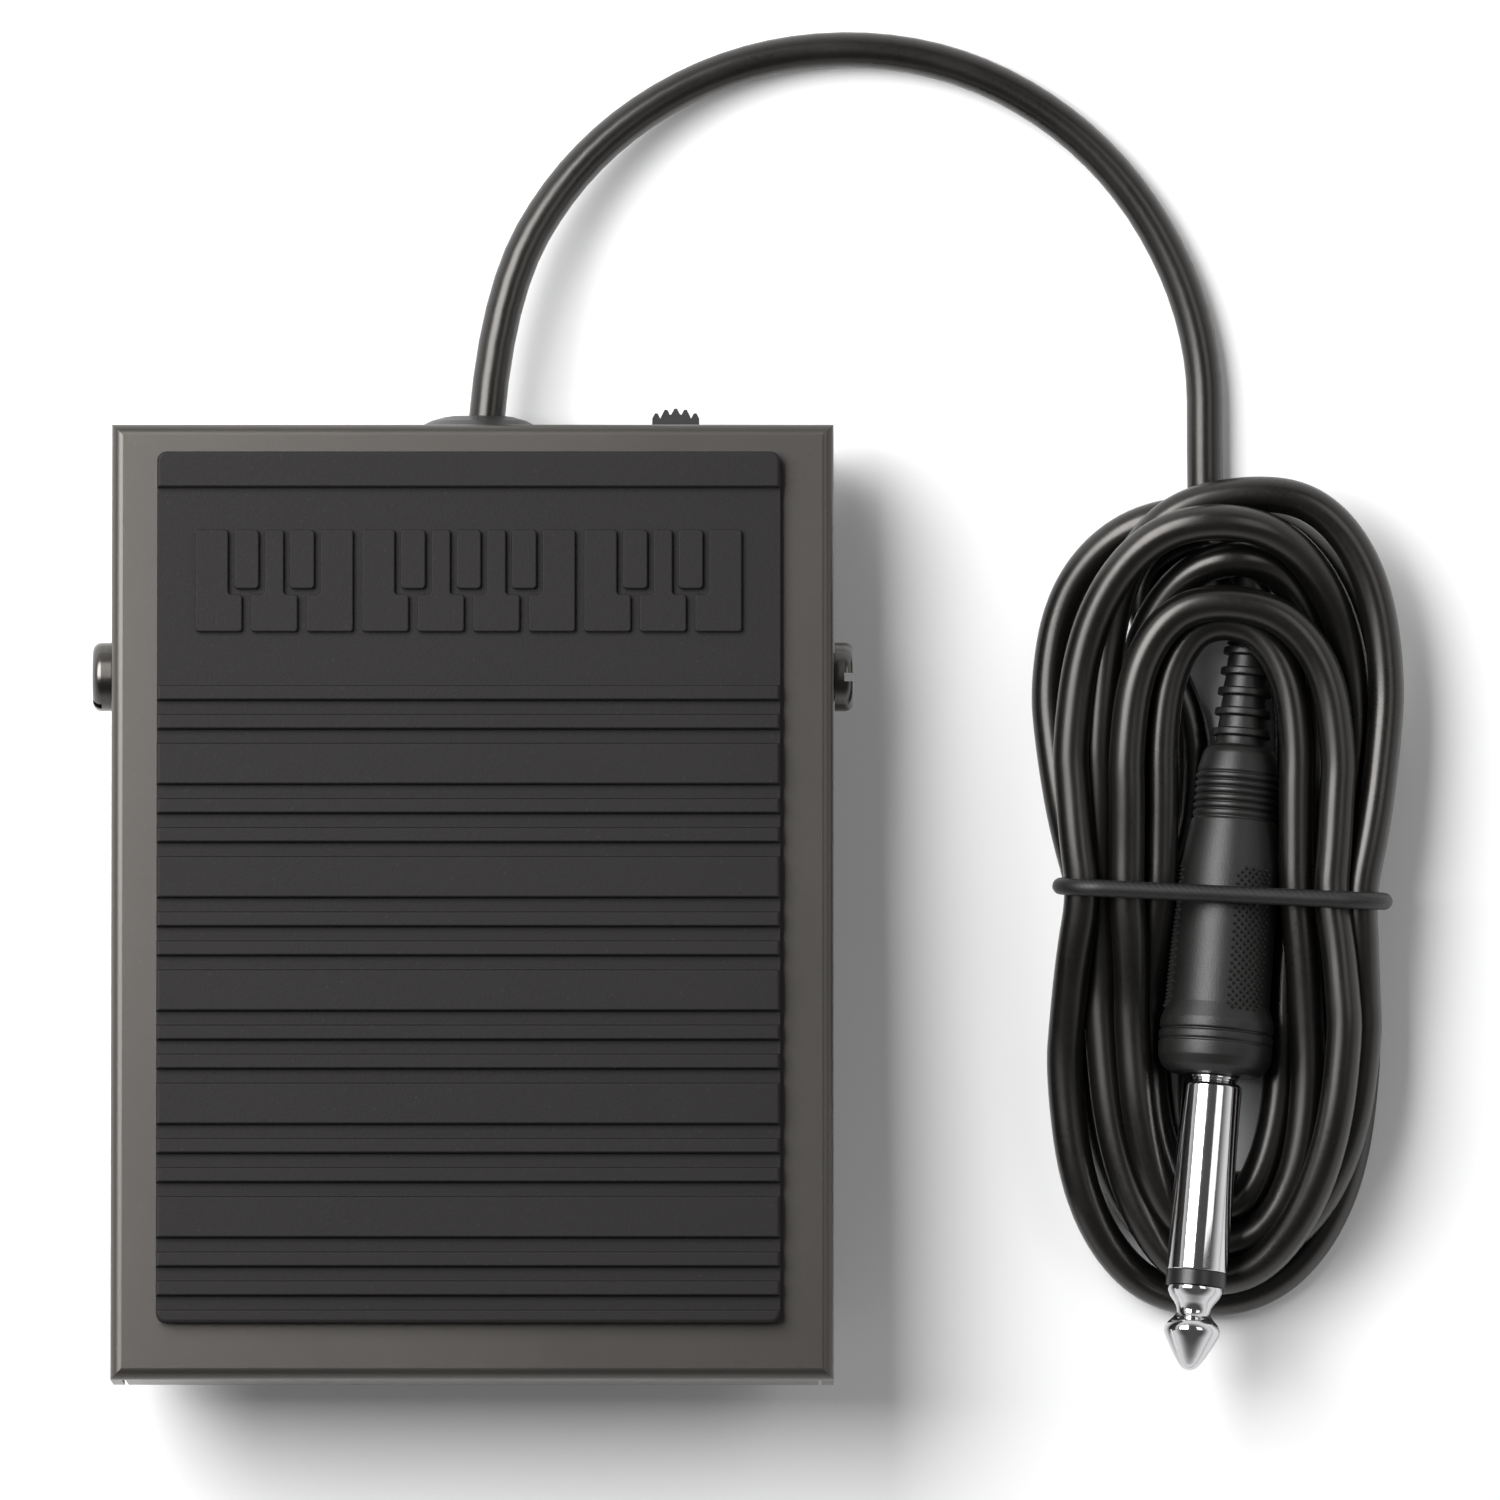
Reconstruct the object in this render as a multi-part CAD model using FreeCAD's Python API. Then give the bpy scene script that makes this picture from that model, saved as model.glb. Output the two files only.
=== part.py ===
"""Sustain pedal with its cord: a folded steel case, a hinged cover with a rubber tread, a lever switch,
a polarity slide switch and a tied hank of cord that ends in a quarter-inch plug.

Millimetres. +Z is up and the pedal stands on z = 0. +Y is the rear, where the cord leaves. +X is to the
right for a player who looks at the pedal from the front. The origin is on the floor, under the middle of
the cover.
"""
import FreeCAD, Part
import math
import os

V = FreeCAD.Vector
X_AXIS = V(1, 0, 0)
Y_AXIS = V(0, 1, 0)
Z_AXIS = V(0, 0, 1)

# ---- driving dimensions -------------------------------------------------------------------------
SHEET = 1.2                      # steel sheet of the base and the cover

COVER_WIDTH = 75.5
COVER_REAR_Y = 49.5              # the cover is drawn level and then tilted to its rest angle
COVER_FRONT_Y = -50.5
COVER_TOP_Z = 21.3
SKIRT = 13.5                     # depth of the front and side flanges
REAR_LIP = 4.0                   # the rear flange is short, over the gland and the slide switch
BEND = 1.2                       # outer bend radius
SEAM = 0.4                       # open seam where two flanges meet

PIVOT_Y = 23.4
PIVOT_Z = 15.0
REST_TILT = 4.0                  # degrees, front edge up
TRAVEL = 7.0                     # degrees from rest to the down stops

PAD_WIDTH = 65.1
PAD_OFFSET_X = -0.4
PAD_REAR_Y = 46.45
PAD_LENGTH = 91.1
PAD_THICK = 2.2
PAD_CORNER = 1.0
GROOVE_DEPTH = 0.8
GROOVE_WIDTH = 1.53
GROOVE_STEP = 3.03               # from one groove to the next in a group of three
GROUP_PITCH = 11.84
GROUP_COUNT = 6
FIRST_GROUP = 23.0               # from the rear edge of the tread
PANEL_START = 3.73               # the emblem panel starts behind the first group and runs into it

KEY_COUNT = 10
KEY_WIDTH = 4.9
KEY_GAP = 0.9
KEY_LENGTH = 10.7
KEY_RAISE = 0.6
KEY_REAR = 8.2                   # from the rear edge of the tread
SHARP_WIDTH = 2.6
SHARP_LENGTH = 6.2
SHARP_CLEARANCE = 0.6
SHARP_AFTER = (0, 1, 3, 4, 5, 7, 8)

BASE_HALF_WIDTH = 35.5
BASE_FRONT_Y = -46.5
BASE_REAR_Y = 47.8
MAT_THICK = 2.0
FLOOR_Z = MAT_THICK + SHEET      # top of the base's floor
SIDE_WALL_TOP = 12.5
FRONT_WALL_TOP = 8.0
REAR_WALL_TOP = 17.2
EAR_RADIUS = 4.6
EAR_FOOT = 9.0                   # half length of the ear where it meets the side wall

SHOULDER_R = 2.5
SHOULDER_FIT = 0.05
HEAD_R = 3.6
HEAD_HEIGHT = 1.95
STUD_R = 1.75

SPRING_Y = -12.0
SPRING_COIL_R = 4.9
SPRING_WIRE_R = 0.55
SPRING_TURNS = 7

GLAND_X = 0.5
GLAND_Z = 8.9
GLAND_RIM_R = 6.2
GLAND_RIM = 1.9
GLAND_DOME = 1.15
GLAND_NECK_R = 3.9
GLAND_BORE_R = 2.4

SLIDE_X = 22.7                   # middle of the slide switch
SLIDE_Z = 8.9
KNOB_X = 21.2                    # the knob stands at the left end of its travel
KNOB_WIDTH = 5.1
KNOB_HEIGHT = 2.6
KNOB_TIP_Y = 51.6
KNOB_TRAVEL = 3.0

CLAMP_HALF = 3.4                 # saddle of the cable clamp, half width over the cord
CLAMP_FOOT = 8.0                 # half width over the feet
CLAMP_FRONT_Y = 41.6
CLAMP_REAR_Y = 44.2
CLAMP_SCREW_X = 5.8

SLIDE_CAN_HALF = 7.1             # can of the slide switch: half width, half height and depth
SLIDE_CAN_RISE = 3.5
SLIDE_CAN_DEPTH = 6.1
SLIDE_CAN_SKIN = 0.4
SLIDE_PLATE = 0.5
SLIDE_PLATE_HALF = 10.5
SLIDE_SCREW_X = 8.5
SLIDE_TAG_PITCH_X = 4.0
SLIDE_TAG_PITCH_Z = 3.2
SLIDE_TAG_REACH = 5.0
KNOB_AIR = 0.4

LEVER_SWITCH_X = 13.0            # middle plane of the lever switch
LEVER_HINGE_Y = 16.5
LEVER_HINGE_Z = 17.0
LEVER_ANGLE = 11.0               # degrees above level at rest
LEVER_LENGTH = 17.5
LEVER_PRESS_Y = 2.0              # where the cover's nub presses on the lever
BUTTON_Y = 11.2
BUTTON_SIDE = -0.6               # the button stands beside the middle plane
BUTTON_R = 1.05
BUTTON_AIR = 0.13                # between the button and the lever at rest
SWITCH_TOP = 15.9
SWITCH_LOW = 6.4
SWITCH_HALF = 3.2                # half thickness of the switch along X
SWITCH_LENGTH = 19.8
SWITCH_LID = 1.2
SWITCH_SCREW_Z = 9.0
SWITCH_SCREW_SPREAD = 4.75
SWITCH_TAG_PITCH = 6.6
BRACKET_TOP = 12.0
BRACKET_FOOT = 9.0
RIVET_X = 5.5
BLADE_THICK = 0.4
BLADE_OFFSET = 0.25              # underside of the blade above the hinge's centre
BLADE_HALF = 1.9
KNUCKLE_R = 0.8
PIN_R = 0.4
NUB_THICK = 0.7

CORD_D = 3.8
CORD_FLOOR_Z = 1.95
BAND_D = 1.8                     # elastic tie around the hank
BAND_TOP = 14.75
BAND_HALF = 17.95
BAND_BEND = 5.2
BAND_MIDDLE = V(78.65, 0.65, 0)
BAND_TURN = -2.7                 # degrees about Z
WIRE_R = 0.6

PLUG_R = 3.175
PLUG_EXPOSED = 31.2
PLUG_TIP = V(75.0, -49.35, 12.4)
PLUG_DIRECTION = V(-0.085, -1.0, 0.10)      # from the moulded grip towards the tip

# Profiles of the plug as (distance from the grip's face towards the tip, radius).
SLEEVE_END = 20.8
INSULATOR_END = 22.3
TIP_PROFILE = [(INSULATOR_END, 2.95), (23.4, 2.75), (24.6, 1.8), (25.2, 1.75), (26.4, 2.75),
               (27.0, 2.95), (27.4, 2.85), (30.7, 1.0), (PLUG_EXPOSED, 0.7)]
BOOT_PROFILE = [(-46.0, 2.3), (-45.6, 2.6), (-34.0, 3.15), (-33.4, 4.0), (-31.8, 4.4), (-27.0, 4.5),
                (-22.0, 5.2), (-8.2, 5.35), (-7.4, 6.05), (-1.8, 6.05), (-0.5, 5.4), (0, 4.3)]
# Space kept free for it in the hank: (from, to, radius). A mating sleeve fits over the shaft.
PLUG_ROOM = [(-44.5, -33.0, 3.6), (-34.5, -21.0, 5.6), (-22.0, -8.0, 5.7), (-8.6, 0.4, 6.4), (0.0, 32.0, 4.5)]

# Route of the cord from inside the case to the hank, chosen by hand.
CORD_ROUTE = [
    V(0.9, 41.1, GLAND_Z),
    V(1.2, 61.3, 8.8),
    V(11.3, 78.8, 5.4),
    V(28.8, 88.9, 2.6),
    V(49.0, 89.1, 1.97),
    V(66.5, 78.8, 2.02),
    V(76.6, 61.3, 1.97),
    V(76.7, 42.6, 1.99),
]

# Corners of the hank's outline on the floor, clockwise from its upper left lobe.
HANK_CORNERS = [
    V(58.2, 34.0, 0), V(67.0, 44.2, 0), V(88.5, 45.6, 0), V(97.2, 33.5, 0), V(98.6, 16.5, 0),
    V(94.6, -3.0, 0), V(96.4, -26.0, 0), V(85.0, -43.6, 0), V(69.5, -43.6, 0), V(59.6, -24.0, 0),
    V(61.6, 1.0, 0), V(57.9, 17.0, 0),
]
HANK_BOTTOM = 0.1
HANK_TOP = 12.2
HANK_FRONT_TOP = 6.9             # lower under the plug's shaft
HANK_SLOPE_Y = (-8.0, -24.0)     # the top falls between these two
# Corners of the hank's inner opening, where the grip lies.
HANK_OPENING = [V(72.6, -24.0, 0), V(82.0, -27.0, 0), V(85.6, -8.0, 0), V(85.2, 26.4, 0), V(73.9, 26.4, 0)]
HANK_OPENING_BEND = 1.5


# ---- helpers ------------------------------------------------------------------------------------
def box(x0, x1, y0, y1, z0, z1):
    return Part.makeBox(x1 - x0, y1 - y0, z1 - z0, V(x0, y0, z0))


def cylinder(start, axis, radius, length):
    return Part.makeCylinder(radius, length, start, axis)


def ring(start, axis, outer, inner, length):
    return cylinder(start, axis, outer, length).cut(cylinder(start, axis, inner, length))


def rounded_path(points, radius_of, closed=False):
    """Straight runs joined by tangent arcs. radius_of takes the two run lengths and the turn."""
    count = len(points)
    corners = range(count) if closed else range(1, count - 1)
    starts = {}
    ends = {}
    arcs = {}
    for i in corners:
        corner = points[i]
        to_back = points[i - 1] - corner
        to_next = points[(i + 1) % count] - corner
        turn = math.pi - to_back.getAngle(to_next)
        radius = radius_of(to_back.Length, to_next.Length, turn)
        cut = radius * math.tan(turn / 2)
        to_back.normalize()
        to_next.normalize()
        inward = to_back + to_next
        inward.normalize()
        starts[i] = corner + to_back * cut
        ends[i] = corner + to_next * cut
        middle = corner + inward * (radius / math.cos(turn / 2) - radius)
        arcs[i] = Part.Arc(starts[i], middle, ends[i]).toShape()
    edges = []
    last = count if closed else count - 1
    for i in range(last):
        following = (i + 1) % count
        run_start = ends.get(i, points[i])
        run_end = starts.get(following, points[following])
        if (run_end - run_start).Length > 1e-6:
            edges.append(Part.LineSegment(run_start, run_end).toShape())
        if following in arcs:
            edges.append(arcs[following])
    return Part.Wire(edges)


def cord_radius(back, ahead, turn):
    return 0.45 * min(back, ahead) / math.tan(turn / 2)


def same_radius(radius):
    return lambda back, ahead, turn: radius


def tube(points, radius):
    path = rounded_path(points, cord_radius)
    heading = points[1] - points[0]
    section = Part.Wire([Part.Circle(points[0], heading, radius).toShape()])
    solid = path.makePipeShell([section], True, True)
    return solid, path


def turned(profile, start, axis):
    """Solid of revolution. profile holds (distance along axis, radius) pairs, closed along the axis."""
    outline = [V(r, 0, s) for s, r in profile]
    outline = [V(0, 0, profile[0][0])] + outline + [V(0, 0, profile[-1][0]), V(0, 0, profile[0][0])]
    solid = Part.Face(Part.makePolygon(outline)).revolve(V(0, 0, 0), Z_AXIS, 360)
    solid.Placement = FreeCAD.Placement(start, FreeCAD.Rotation(Z_AXIS, axis))
    return solid


def tilted(shape):
    """Turns a shape drawn on the level cover to the cover's rest angle."""
    shape.rotate(V(0, PIVOT_Y, PIVOT_Z), X_AXIS, -REST_TILT)
    return shape


def edges_where(shape, test):
    return [edge for edge in shape.Edges if test(edge)]


def is_vertical(edge):
    direction = edge.Vertexes[-1].Point - edge.Vertexes[0].Point
    return abs(direction.x) < 1e-6 and abs(direction.y) < 1e-6 and abs(direction.z) > 1e-3


def lies_at_z(edge, z):
    return all(abs(vertex.Point.z - z) < 1e-6 for vertex in edge.Vertexes)


def rounded_slab(x0, x1, y0, y1, z0, z1, corner, top_edge=0.0):
    slab = box(x0, x1, y0, y1, z0, z1)
    slab = slab.makeFillet(corner, edges_where(slab, is_vertical))
    if top_edge:
        slab = slab.makeFillet(top_edge, edges_where(slab, lambda edge: lies_at_z(edge, z1)))
    return slab


NODES = {}


def add(name, shape):
    NODES[name] = shape


# ---- the base -----------------------------------------------------------------------------------
def base_chassis():
    """Floor, three low walls, a rear wall with an inward shelf, and two pivot ears, folded in one."""
    half = BASE_HALF_WIDTH
    floor = box(-half, half, BASE_FRONT_Y, BASE_REAR_Y, MAT_THICK, FLOOR_Z)
    front = box(-half, half, BASE_FRONT_Y, BASE_FRONT_Y + SHEET, FLOOR_Z, FRONT_WALL_TOP)
    rear = box(-half, half, BASE_REAR_Y - SHEET, BASE_REAR_Y, FLOOR_Z, REAR_WALL_TOP)
    shelf = box(-30, 30, BASE_REAR_Y - 6.0, BASE_REAR_Y - SHEET, REAR_WALL_TOP - SHEET, REAR_WALL_TOP)
    parts = [front, rear, shelf]
    for side in (-1, 1):
        inner = side * (half - SHEET)
        low, high = sorted((inner, side * half))
        parts.append(box(low, high, BASE_FRONT_Y, BASE_REAR_Y, FLOOR_Z, SIDE_WALL_TOP))
        parts.append(pivot_ear(low))
    chassis = floor.multiFuse(parts).removeSplitter()
    for side in (-1, 1):
        start = V(side * (half + 1), PIVOT_Y, PIVOT_Z)
        chassis = chassis.cut(cylinder(start, X_AXIS * -side, STUD_R + 0.1, 4))
    chassis = chassis.cut(cylinder(V(GLAND_X, BASE_REAR_Y - 3, GLAND_Z), Y_AXIS, GLAND_NECK_R + 0.05, 5))
    chassis = chassis.cut(knob_window(BASE_REAR_Y - 3, BASE_REAR_Y + 1))
    for x in slide_screw_places():
        chassis = chassis.cut(cylinder(V(x, BASE_REAR_Y - 3, SLIDE_Z), Y_AXIS, 1.1, 5))
    return chassis


def pivot_ear(x_low):
    """Rounded ear on a side wall. Its top is an arc about the pivot, so the cover clears it."""
    spread = math.radians(50)
    reach_y = EAR_RADIUS * math.sin(spread)
    reach_z = EAR_RADIUS * math.cos(spread)
    foot_front = V(x_low, PIVOT_Y - EAR_FOOT, SIDE_WALL_TOP - 1)
    foot_rear = V(x_low, PIVOT_Y + EAR_FOOT, SIDE_WALL_TOP - 1)
    arc_front = V(x_low, PIVOT_Y - reach_y, PIVOT_Z + reach_z)
    arc_top = V(x_low, PIVOT_Y, PIVOT_Z + EAR_RADIUS)
    arc_rear = V(x_low, PIVOT_Y + reach_y, PIVOT_Z + reach_z)
    outline = Part.Wire([
        Part.LineSegment(foot_front, arc_front).toShape(),
        Part.Arc(arc_front, arc_top, arc_rear).toShape(),
        Part.LineSegment(arc_rear, foot_rear).toShape(),
        Part.LineSegment(foot_rear, foot_front).toShape(),
    ])
    return Part.Face(outline).extrude(V(SHEET, 0, 0))


def base_rubber_mat():
    edge = 1.0
    half = BASE_HALF_WIDTH - edge
    return rounded_slab(-half, half, BASE_FRONT_Y + edge, BASE_REAR_Y - edge, 0, MAT_THICK, 3.0)


def add_pivots():
    """Shoulder screw, nylon washer and nut on each side. The cover turns on the shoulders."""
    for name, side, slot_angle in (("left", -1, 60), ("right", 1, 0)):
        out = X_AXIS * side
        ear_face = V(side * BASE_HALF_WIDTH, PIVOT_Y, PIVOT_Z)
        cover_face = V(side * COVER_WIDTH / 2, PIVOT_Y, PIVOT_Z)
        head_under = cover_face + out * 0.12
        shoulder = cylinder(ear_face, out, SHOULDER_R, (head_under - ear_face).Length)
        stud = cylinder(ear_face - out * (SHEET + 3.4), out, STUD_R, SHEET + 3.4)
        head = cylinder(head_under, out, HEAD_R, HEAD_HEIGHT)
        outer_x = abs(head_under.x) + HEAD_HEIGHT
        rim = edges_where(head, lambda edge: abs(abs(edge.CenterOfMass.x) - outer_x) < 0.01)
        head = head.makeFillet(0.9, rim)
        slot = box(-5, 5, -0.45, 0.45, -5, 5)
        slot.rotate(V(0, 0, 0), X_AXIS, slot_angle)
        slot.translate(V(head_under.x + side * (HEAD_HEIGHT - 0.95 + 5), PIVOT_Y, PIVOT_Z))
        add("pivot_screw_" + name, head.multiFuse([shoulder, stud]).cut(slot))
        add("pivot_washer_" + name, ring(ear_face, out, 4.2, SHOULDER_R + 0.08, 0.5))
        nut_seat = ear_face - out * SHEET
        nut = hexagon(3.2, 2.6, STUD_R)
        nut.Placement = FreeCAD.Placement(nut_seat, FreeCAD.Rotation(Z_AXIS, out * -1))
        add("pivot_nut_" + name, nut)


def hexagon(across_half, height, bore):
    corner = across_half / math.cos(math.pi / 6)
    points = [V(corner * math.cos(math.pi * k / 3), corner * math.sin(math.pi * k / 3), 0) for k in range(7)]
    prism = Part.Face(Part.makePolygon(points)).extrude(V(0, 0, height))
    return prism.cut(Part.makeCylinder(bore + 0.02, height))


def add_stops():
    for name, x in (("left", -24.0), ("right", 24.0)):
        peg = cylinder(V(x, -38.0, FLOOR_Z), Z_AXIS, 4.5, 13.2)
        peg = peg.makeFillet(1.0, edges_where(peg, lambda edge: lies_at_z(edge, FLOOR_Z + 13.2)))
        add("down_stop_" + name, peg)
    strip = rounded_slab(-26, 26, BASE_REAR_Y - 5.6, BASE_REAR_Y - 2.0,
                         REAR_WALL_TOP, REAR_WALL_TOP + 1.0, 0.8)
    add("up_stop_strip", strip)


def add_return_spring():
    foot = FLOOR_Z
    boss_flange = cylinder(V(0, SPRING_Y, foot), Z_AXIS, 7.0, 1.2)
    boss = cylinder(V(0, SPRING_Y, foot), Z_AXIS, SPRING_COIL_R - SPRING_WIRE_R - 0.35, 4.2)
    add("spring_seat", boss_flange.fuse(boss))
    coil_low = foot + 1.2 + SPRING_WIRE_R + 0.02
    coil_high = 21.95 - SPRING_WIRE_R
    rise = coil_high - coil_low
    helix = Part.makeHelix(rise / SPRING_TURNS, rise, SPRING_COIL_R)
    section = Part.Wire([Part.Circle(V(SPRING_COIL_R, 0, 0), Y_AXIS, SPRING_WIRE_R).toShape()])
    coil = Part.Wire(helix.Edges).makePipeShell([section], True, True)
    coil.translate(V(0, SPRING_Y, coil_low))
    add("return_spring", coil)


# ---- the cable's way out ------------------------------------------------------------------------
def cable_gland():
    """Domed bushing that snaps into the rear wall, with a collar behind the sheet."""
    collar = 1.5
    wall_inside = BASE_REAR_Y - SHEET
    profile = [
        (-SHEET - collar, GLAND_NECK_R + 0.9),
        (-SHEET, GLAND_NECK_R + 0.9),
        (-SHEET, GLAND_NECK_R),
        (0, GLAND_NECK_R),
        (0, GLAND_RIM_R),
        (GLAND_RIM, GLAND_RIM_R),
        (GLAND_RIM + GLAND_DOME * 0.55, GLAND_RIM_R * 0.80),
        (GLAND_RIM + GLAND_DOME * 0.88, GLAND_RIM_R * 0.58),
        (GLAND_RIM + GLAND_DOME, GLAND_BORE_R + 0.3),
    ]
    bush = turned(profile, V(GLAND_X, BASE_REAR_Y, GLAND_Z), Y_AXIS)
    return bush.cut(cylinder(V(GLAND_X + 0.45, wall_inside - 3, GLAND_Z), Y_AXIS, GLAND_BORE_R, 9))


def add_cable_clamp():
    """Nylon saddle over the cord with two screws into the floor."""
    x = CORD_ROUTE[0].x + 0.03
    foot_top = FLOOR_Z + 2.0
    saddle_top = GLAND_Z + 3.2
    screw_r = 1.0
    saddle = box(x - CLAMP_HALF, x + CLAMP_HALF, CLAMP_FRONT_Y, CLAMP_REAR_Y, FLOOR_Z, saddle_top)
    feet = box(x - CLAMP_FOOT, x + CLAMP_FOOT, CLAMP_FRONT_Y, CLAMP_REAR_Y, FLOOR_Z, foot_top)
    saddle = saddle.fuse(feet)
    saddle = saddle.cut(cylinder(V(x, CLAMP_FRONT_Y - 1, GLAND_Z), Y_AXIS, CORD_D / 2 + 0.1, 6))
    middle = (CLAMP_FRONT_Y + CLAMP_REAR_Y) / 2
    screws = []
    for side in (-1, 1):
        place = V(x + side * CLAMP_SCREW_X, middle, foot_top)
        saddle = saddle.cut(cylinder(V(place.x, middle, FLOOR_Z - 1), Z_AXIS, screw_r + 0.05, 5))
        shank = cylinder(V(place.x, middle, FLOOR_Z), Z_AXIS, screw_r, foot_top - FLOOR_Z)
        screws.append(cylinder(place, Z_AXIS, screw_r + 0.2, 1.0).fuse(shank))
    add("cable_clamp", saddle)
    add("cable_clamp_screws", Part.makeCompound(screws))


# ---- the polarity slide switch ------------------------------------------------------------------
def slide_screw_places():
    return (SLIDE_X - SLIDE_SCREW_X, SLIDE_X + SLIDE_SCREW_X)


def knob_window(y_low, y_high):
    """The knob's opening, with air for its whole travel."""
    half_height = KNOB_HEIGHT / 2 + 0.3
    return box(KNOB_X - KNOB_WIDTH / 2 - KNOB_AIR, KNOB_X + KNOB_WIDTH / 2 + KNOB_TRAVEL + KNOB_AIR,
               y_low, y_high, SLIDE_Z - half_height, SLIDE_Z + half_height)


def around_slide(half_x, y_low, y_high, half_z):
    return box(SLIDE_X - half_x, SLIDE_X + half_x, y_low, y_high, SLIDE_Z - half_z, SLIDE_Z + half_z)


def add_slide_switch():
    wall_inside = BASE_REAR_Y - SHEET
    front = wall_inside - SLIDE_PLATE
    back = front - SLIDE_CAN_DEPTH
    can = around_slide(SLIDE_CAN_HALF, back, front, SLIDE_CAN_RISE)
    can = can.cut(around_slide(SLIDE_CAN_HALF - SLIDE_CAN_SKIN, back - 1, front,
                               SLIDE_CAN_RISE - SLIDE_CAN_SKIN))
    plate = around_slide(SLIDE_PLATE_HALF, front, wall_inside, SLIDE_CAN_RISE - 0.5)
    plate = plate.fuse(around_slide(SLIDE_CAN_HALF, front, wall_inside, SLIDE_CAN_RISE))
    plate = plate.cut(knob_window(front - 1, wall_inside + 1))
    for x in slide_screw_places():
        plate = plate.cut(cylinder(V(x, front - 1, SLIDE_Z), Y_AXIS, 1.0, 3))
    add("slide_switch_can", can.fuse(plate))

    board_thick = 1.2
    board = around_slide(SLIDE_CAN_HALF - 0.2, back - board_thick, back, SLIDE_CAN_RISE - 0.1)
    tags = []
    for column in (-1, 0, 1):
        for row in (-0.5, 0.5):
            x = SLIDE_X + SLIDE_TAG_PITCH_X * column
            z = SLIDE_Z + SLIDE_TAG_PITCH_Z * row
            board = board.cut(box(x - 0.7, x + 0.7, back - 2, back + 1, z - 0.3, z + 0.3))
            tags.append(box(x - 0.6, x + 0.6, back - SLIDE_TAG_REACH, back + 0.8, z - 0.2, z + 0.2))
    add("slide_switch_board", board)
    add("slide_switch_tags", Part.makeCompound(tags))

    screws = []
    for x in slide_screw_places():
        head = cylinder(V(x, BASE_REAR_Y, SLIDE_Z), Y_AXIS, 1.9, 1.0)
        shank = cylinder(V(x, BASE_REAR_Y - 3.2, SLIDE_Z), Y_AXIS, 0.95, 3.2)
        screws.append(head.fuse(shank))
    add("slide_switch_screws", Part.makeCompound(screws))

    shoe_front = front - 0.2
    shoe_back = shoe_front - 2.7
    shoe = box(KNOB_X - 5.0, KNOB_X + 5.0, shoe_back, shoe_front, SLIDE_Z - 2.9, SLIDE_Z + 2.9)
    add("slide_knob", shoe.fuse(slide_knob_crown(shoe_front)))
    add("slide_wiper", box(KNOB_X - 4.4, KNOB_X + 4.4, shoe_back - 0.4, shoe_back,
                           SLIDE_Z - 2.4, SLIDE_Z + 2.4))


def slide_knob_crown(root_y):
    """Stem of the knob with five teeth on a bowed crown."""
    teeth = 5
    pitch = KNOB_WIDTH / teeth
    left = KNOB_X - KNOB_WIDTH / 2
    points = [V(left, root_y, 0)]
    for k in range(teeth):
        from_middle = (k - (teeth - 1) / 2) / ((teeth - 1) / 2)
        crown = KNOB_TIP_Y - 0.5 * from_middle ** 2
        points.append(V(left + pitch * (k + 0.08), crown - 0.55, 0))
        points.append(V(left + pitch * (k + 0.36), crown, 0))
        points.append(V(left + pitch * (k + 0.64), crown, 0))
        points.append(V(left + pitch * (k + 0.92), crown - 0.55, 0))
    points.append(V(left + KNOB_WIDTH, root_y, 0))
    points.append(points[0])
    crown = Part.Face(Part.makePolygon(points)).extrude(V(0, 0, KNOB_HEIGHT))
    crown.translate(V(0, 0, SLIDE_Z - KNOB_HEIGHT / 2))
    return crown


# ---- the lever switch under the cover -----------------------------------------------------------
def add_lever_switch():
    x_low = LEVER_SWITCH_X - SWITCH_HALF
    x_high = LEVER_SWITCH_X + SWITCH_HALF
    rear = LEVER_HINGE_Y + 1.2
    front = rear - SWITCH_LENGTH
    middle = (front + rear) / 2
    screw_places = (middle - SWITCH_SCREW_SPREAD, middle + SWITCH_SCREW_SPREAD)
    add_switch_case(x_low, x_high, front, rear, screw_places)
    add_switch_bracket(x_low, x_high, front, rear, screw_places)
    add_switch_button()
    add_switch_lever(x_low, x_high)


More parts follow.
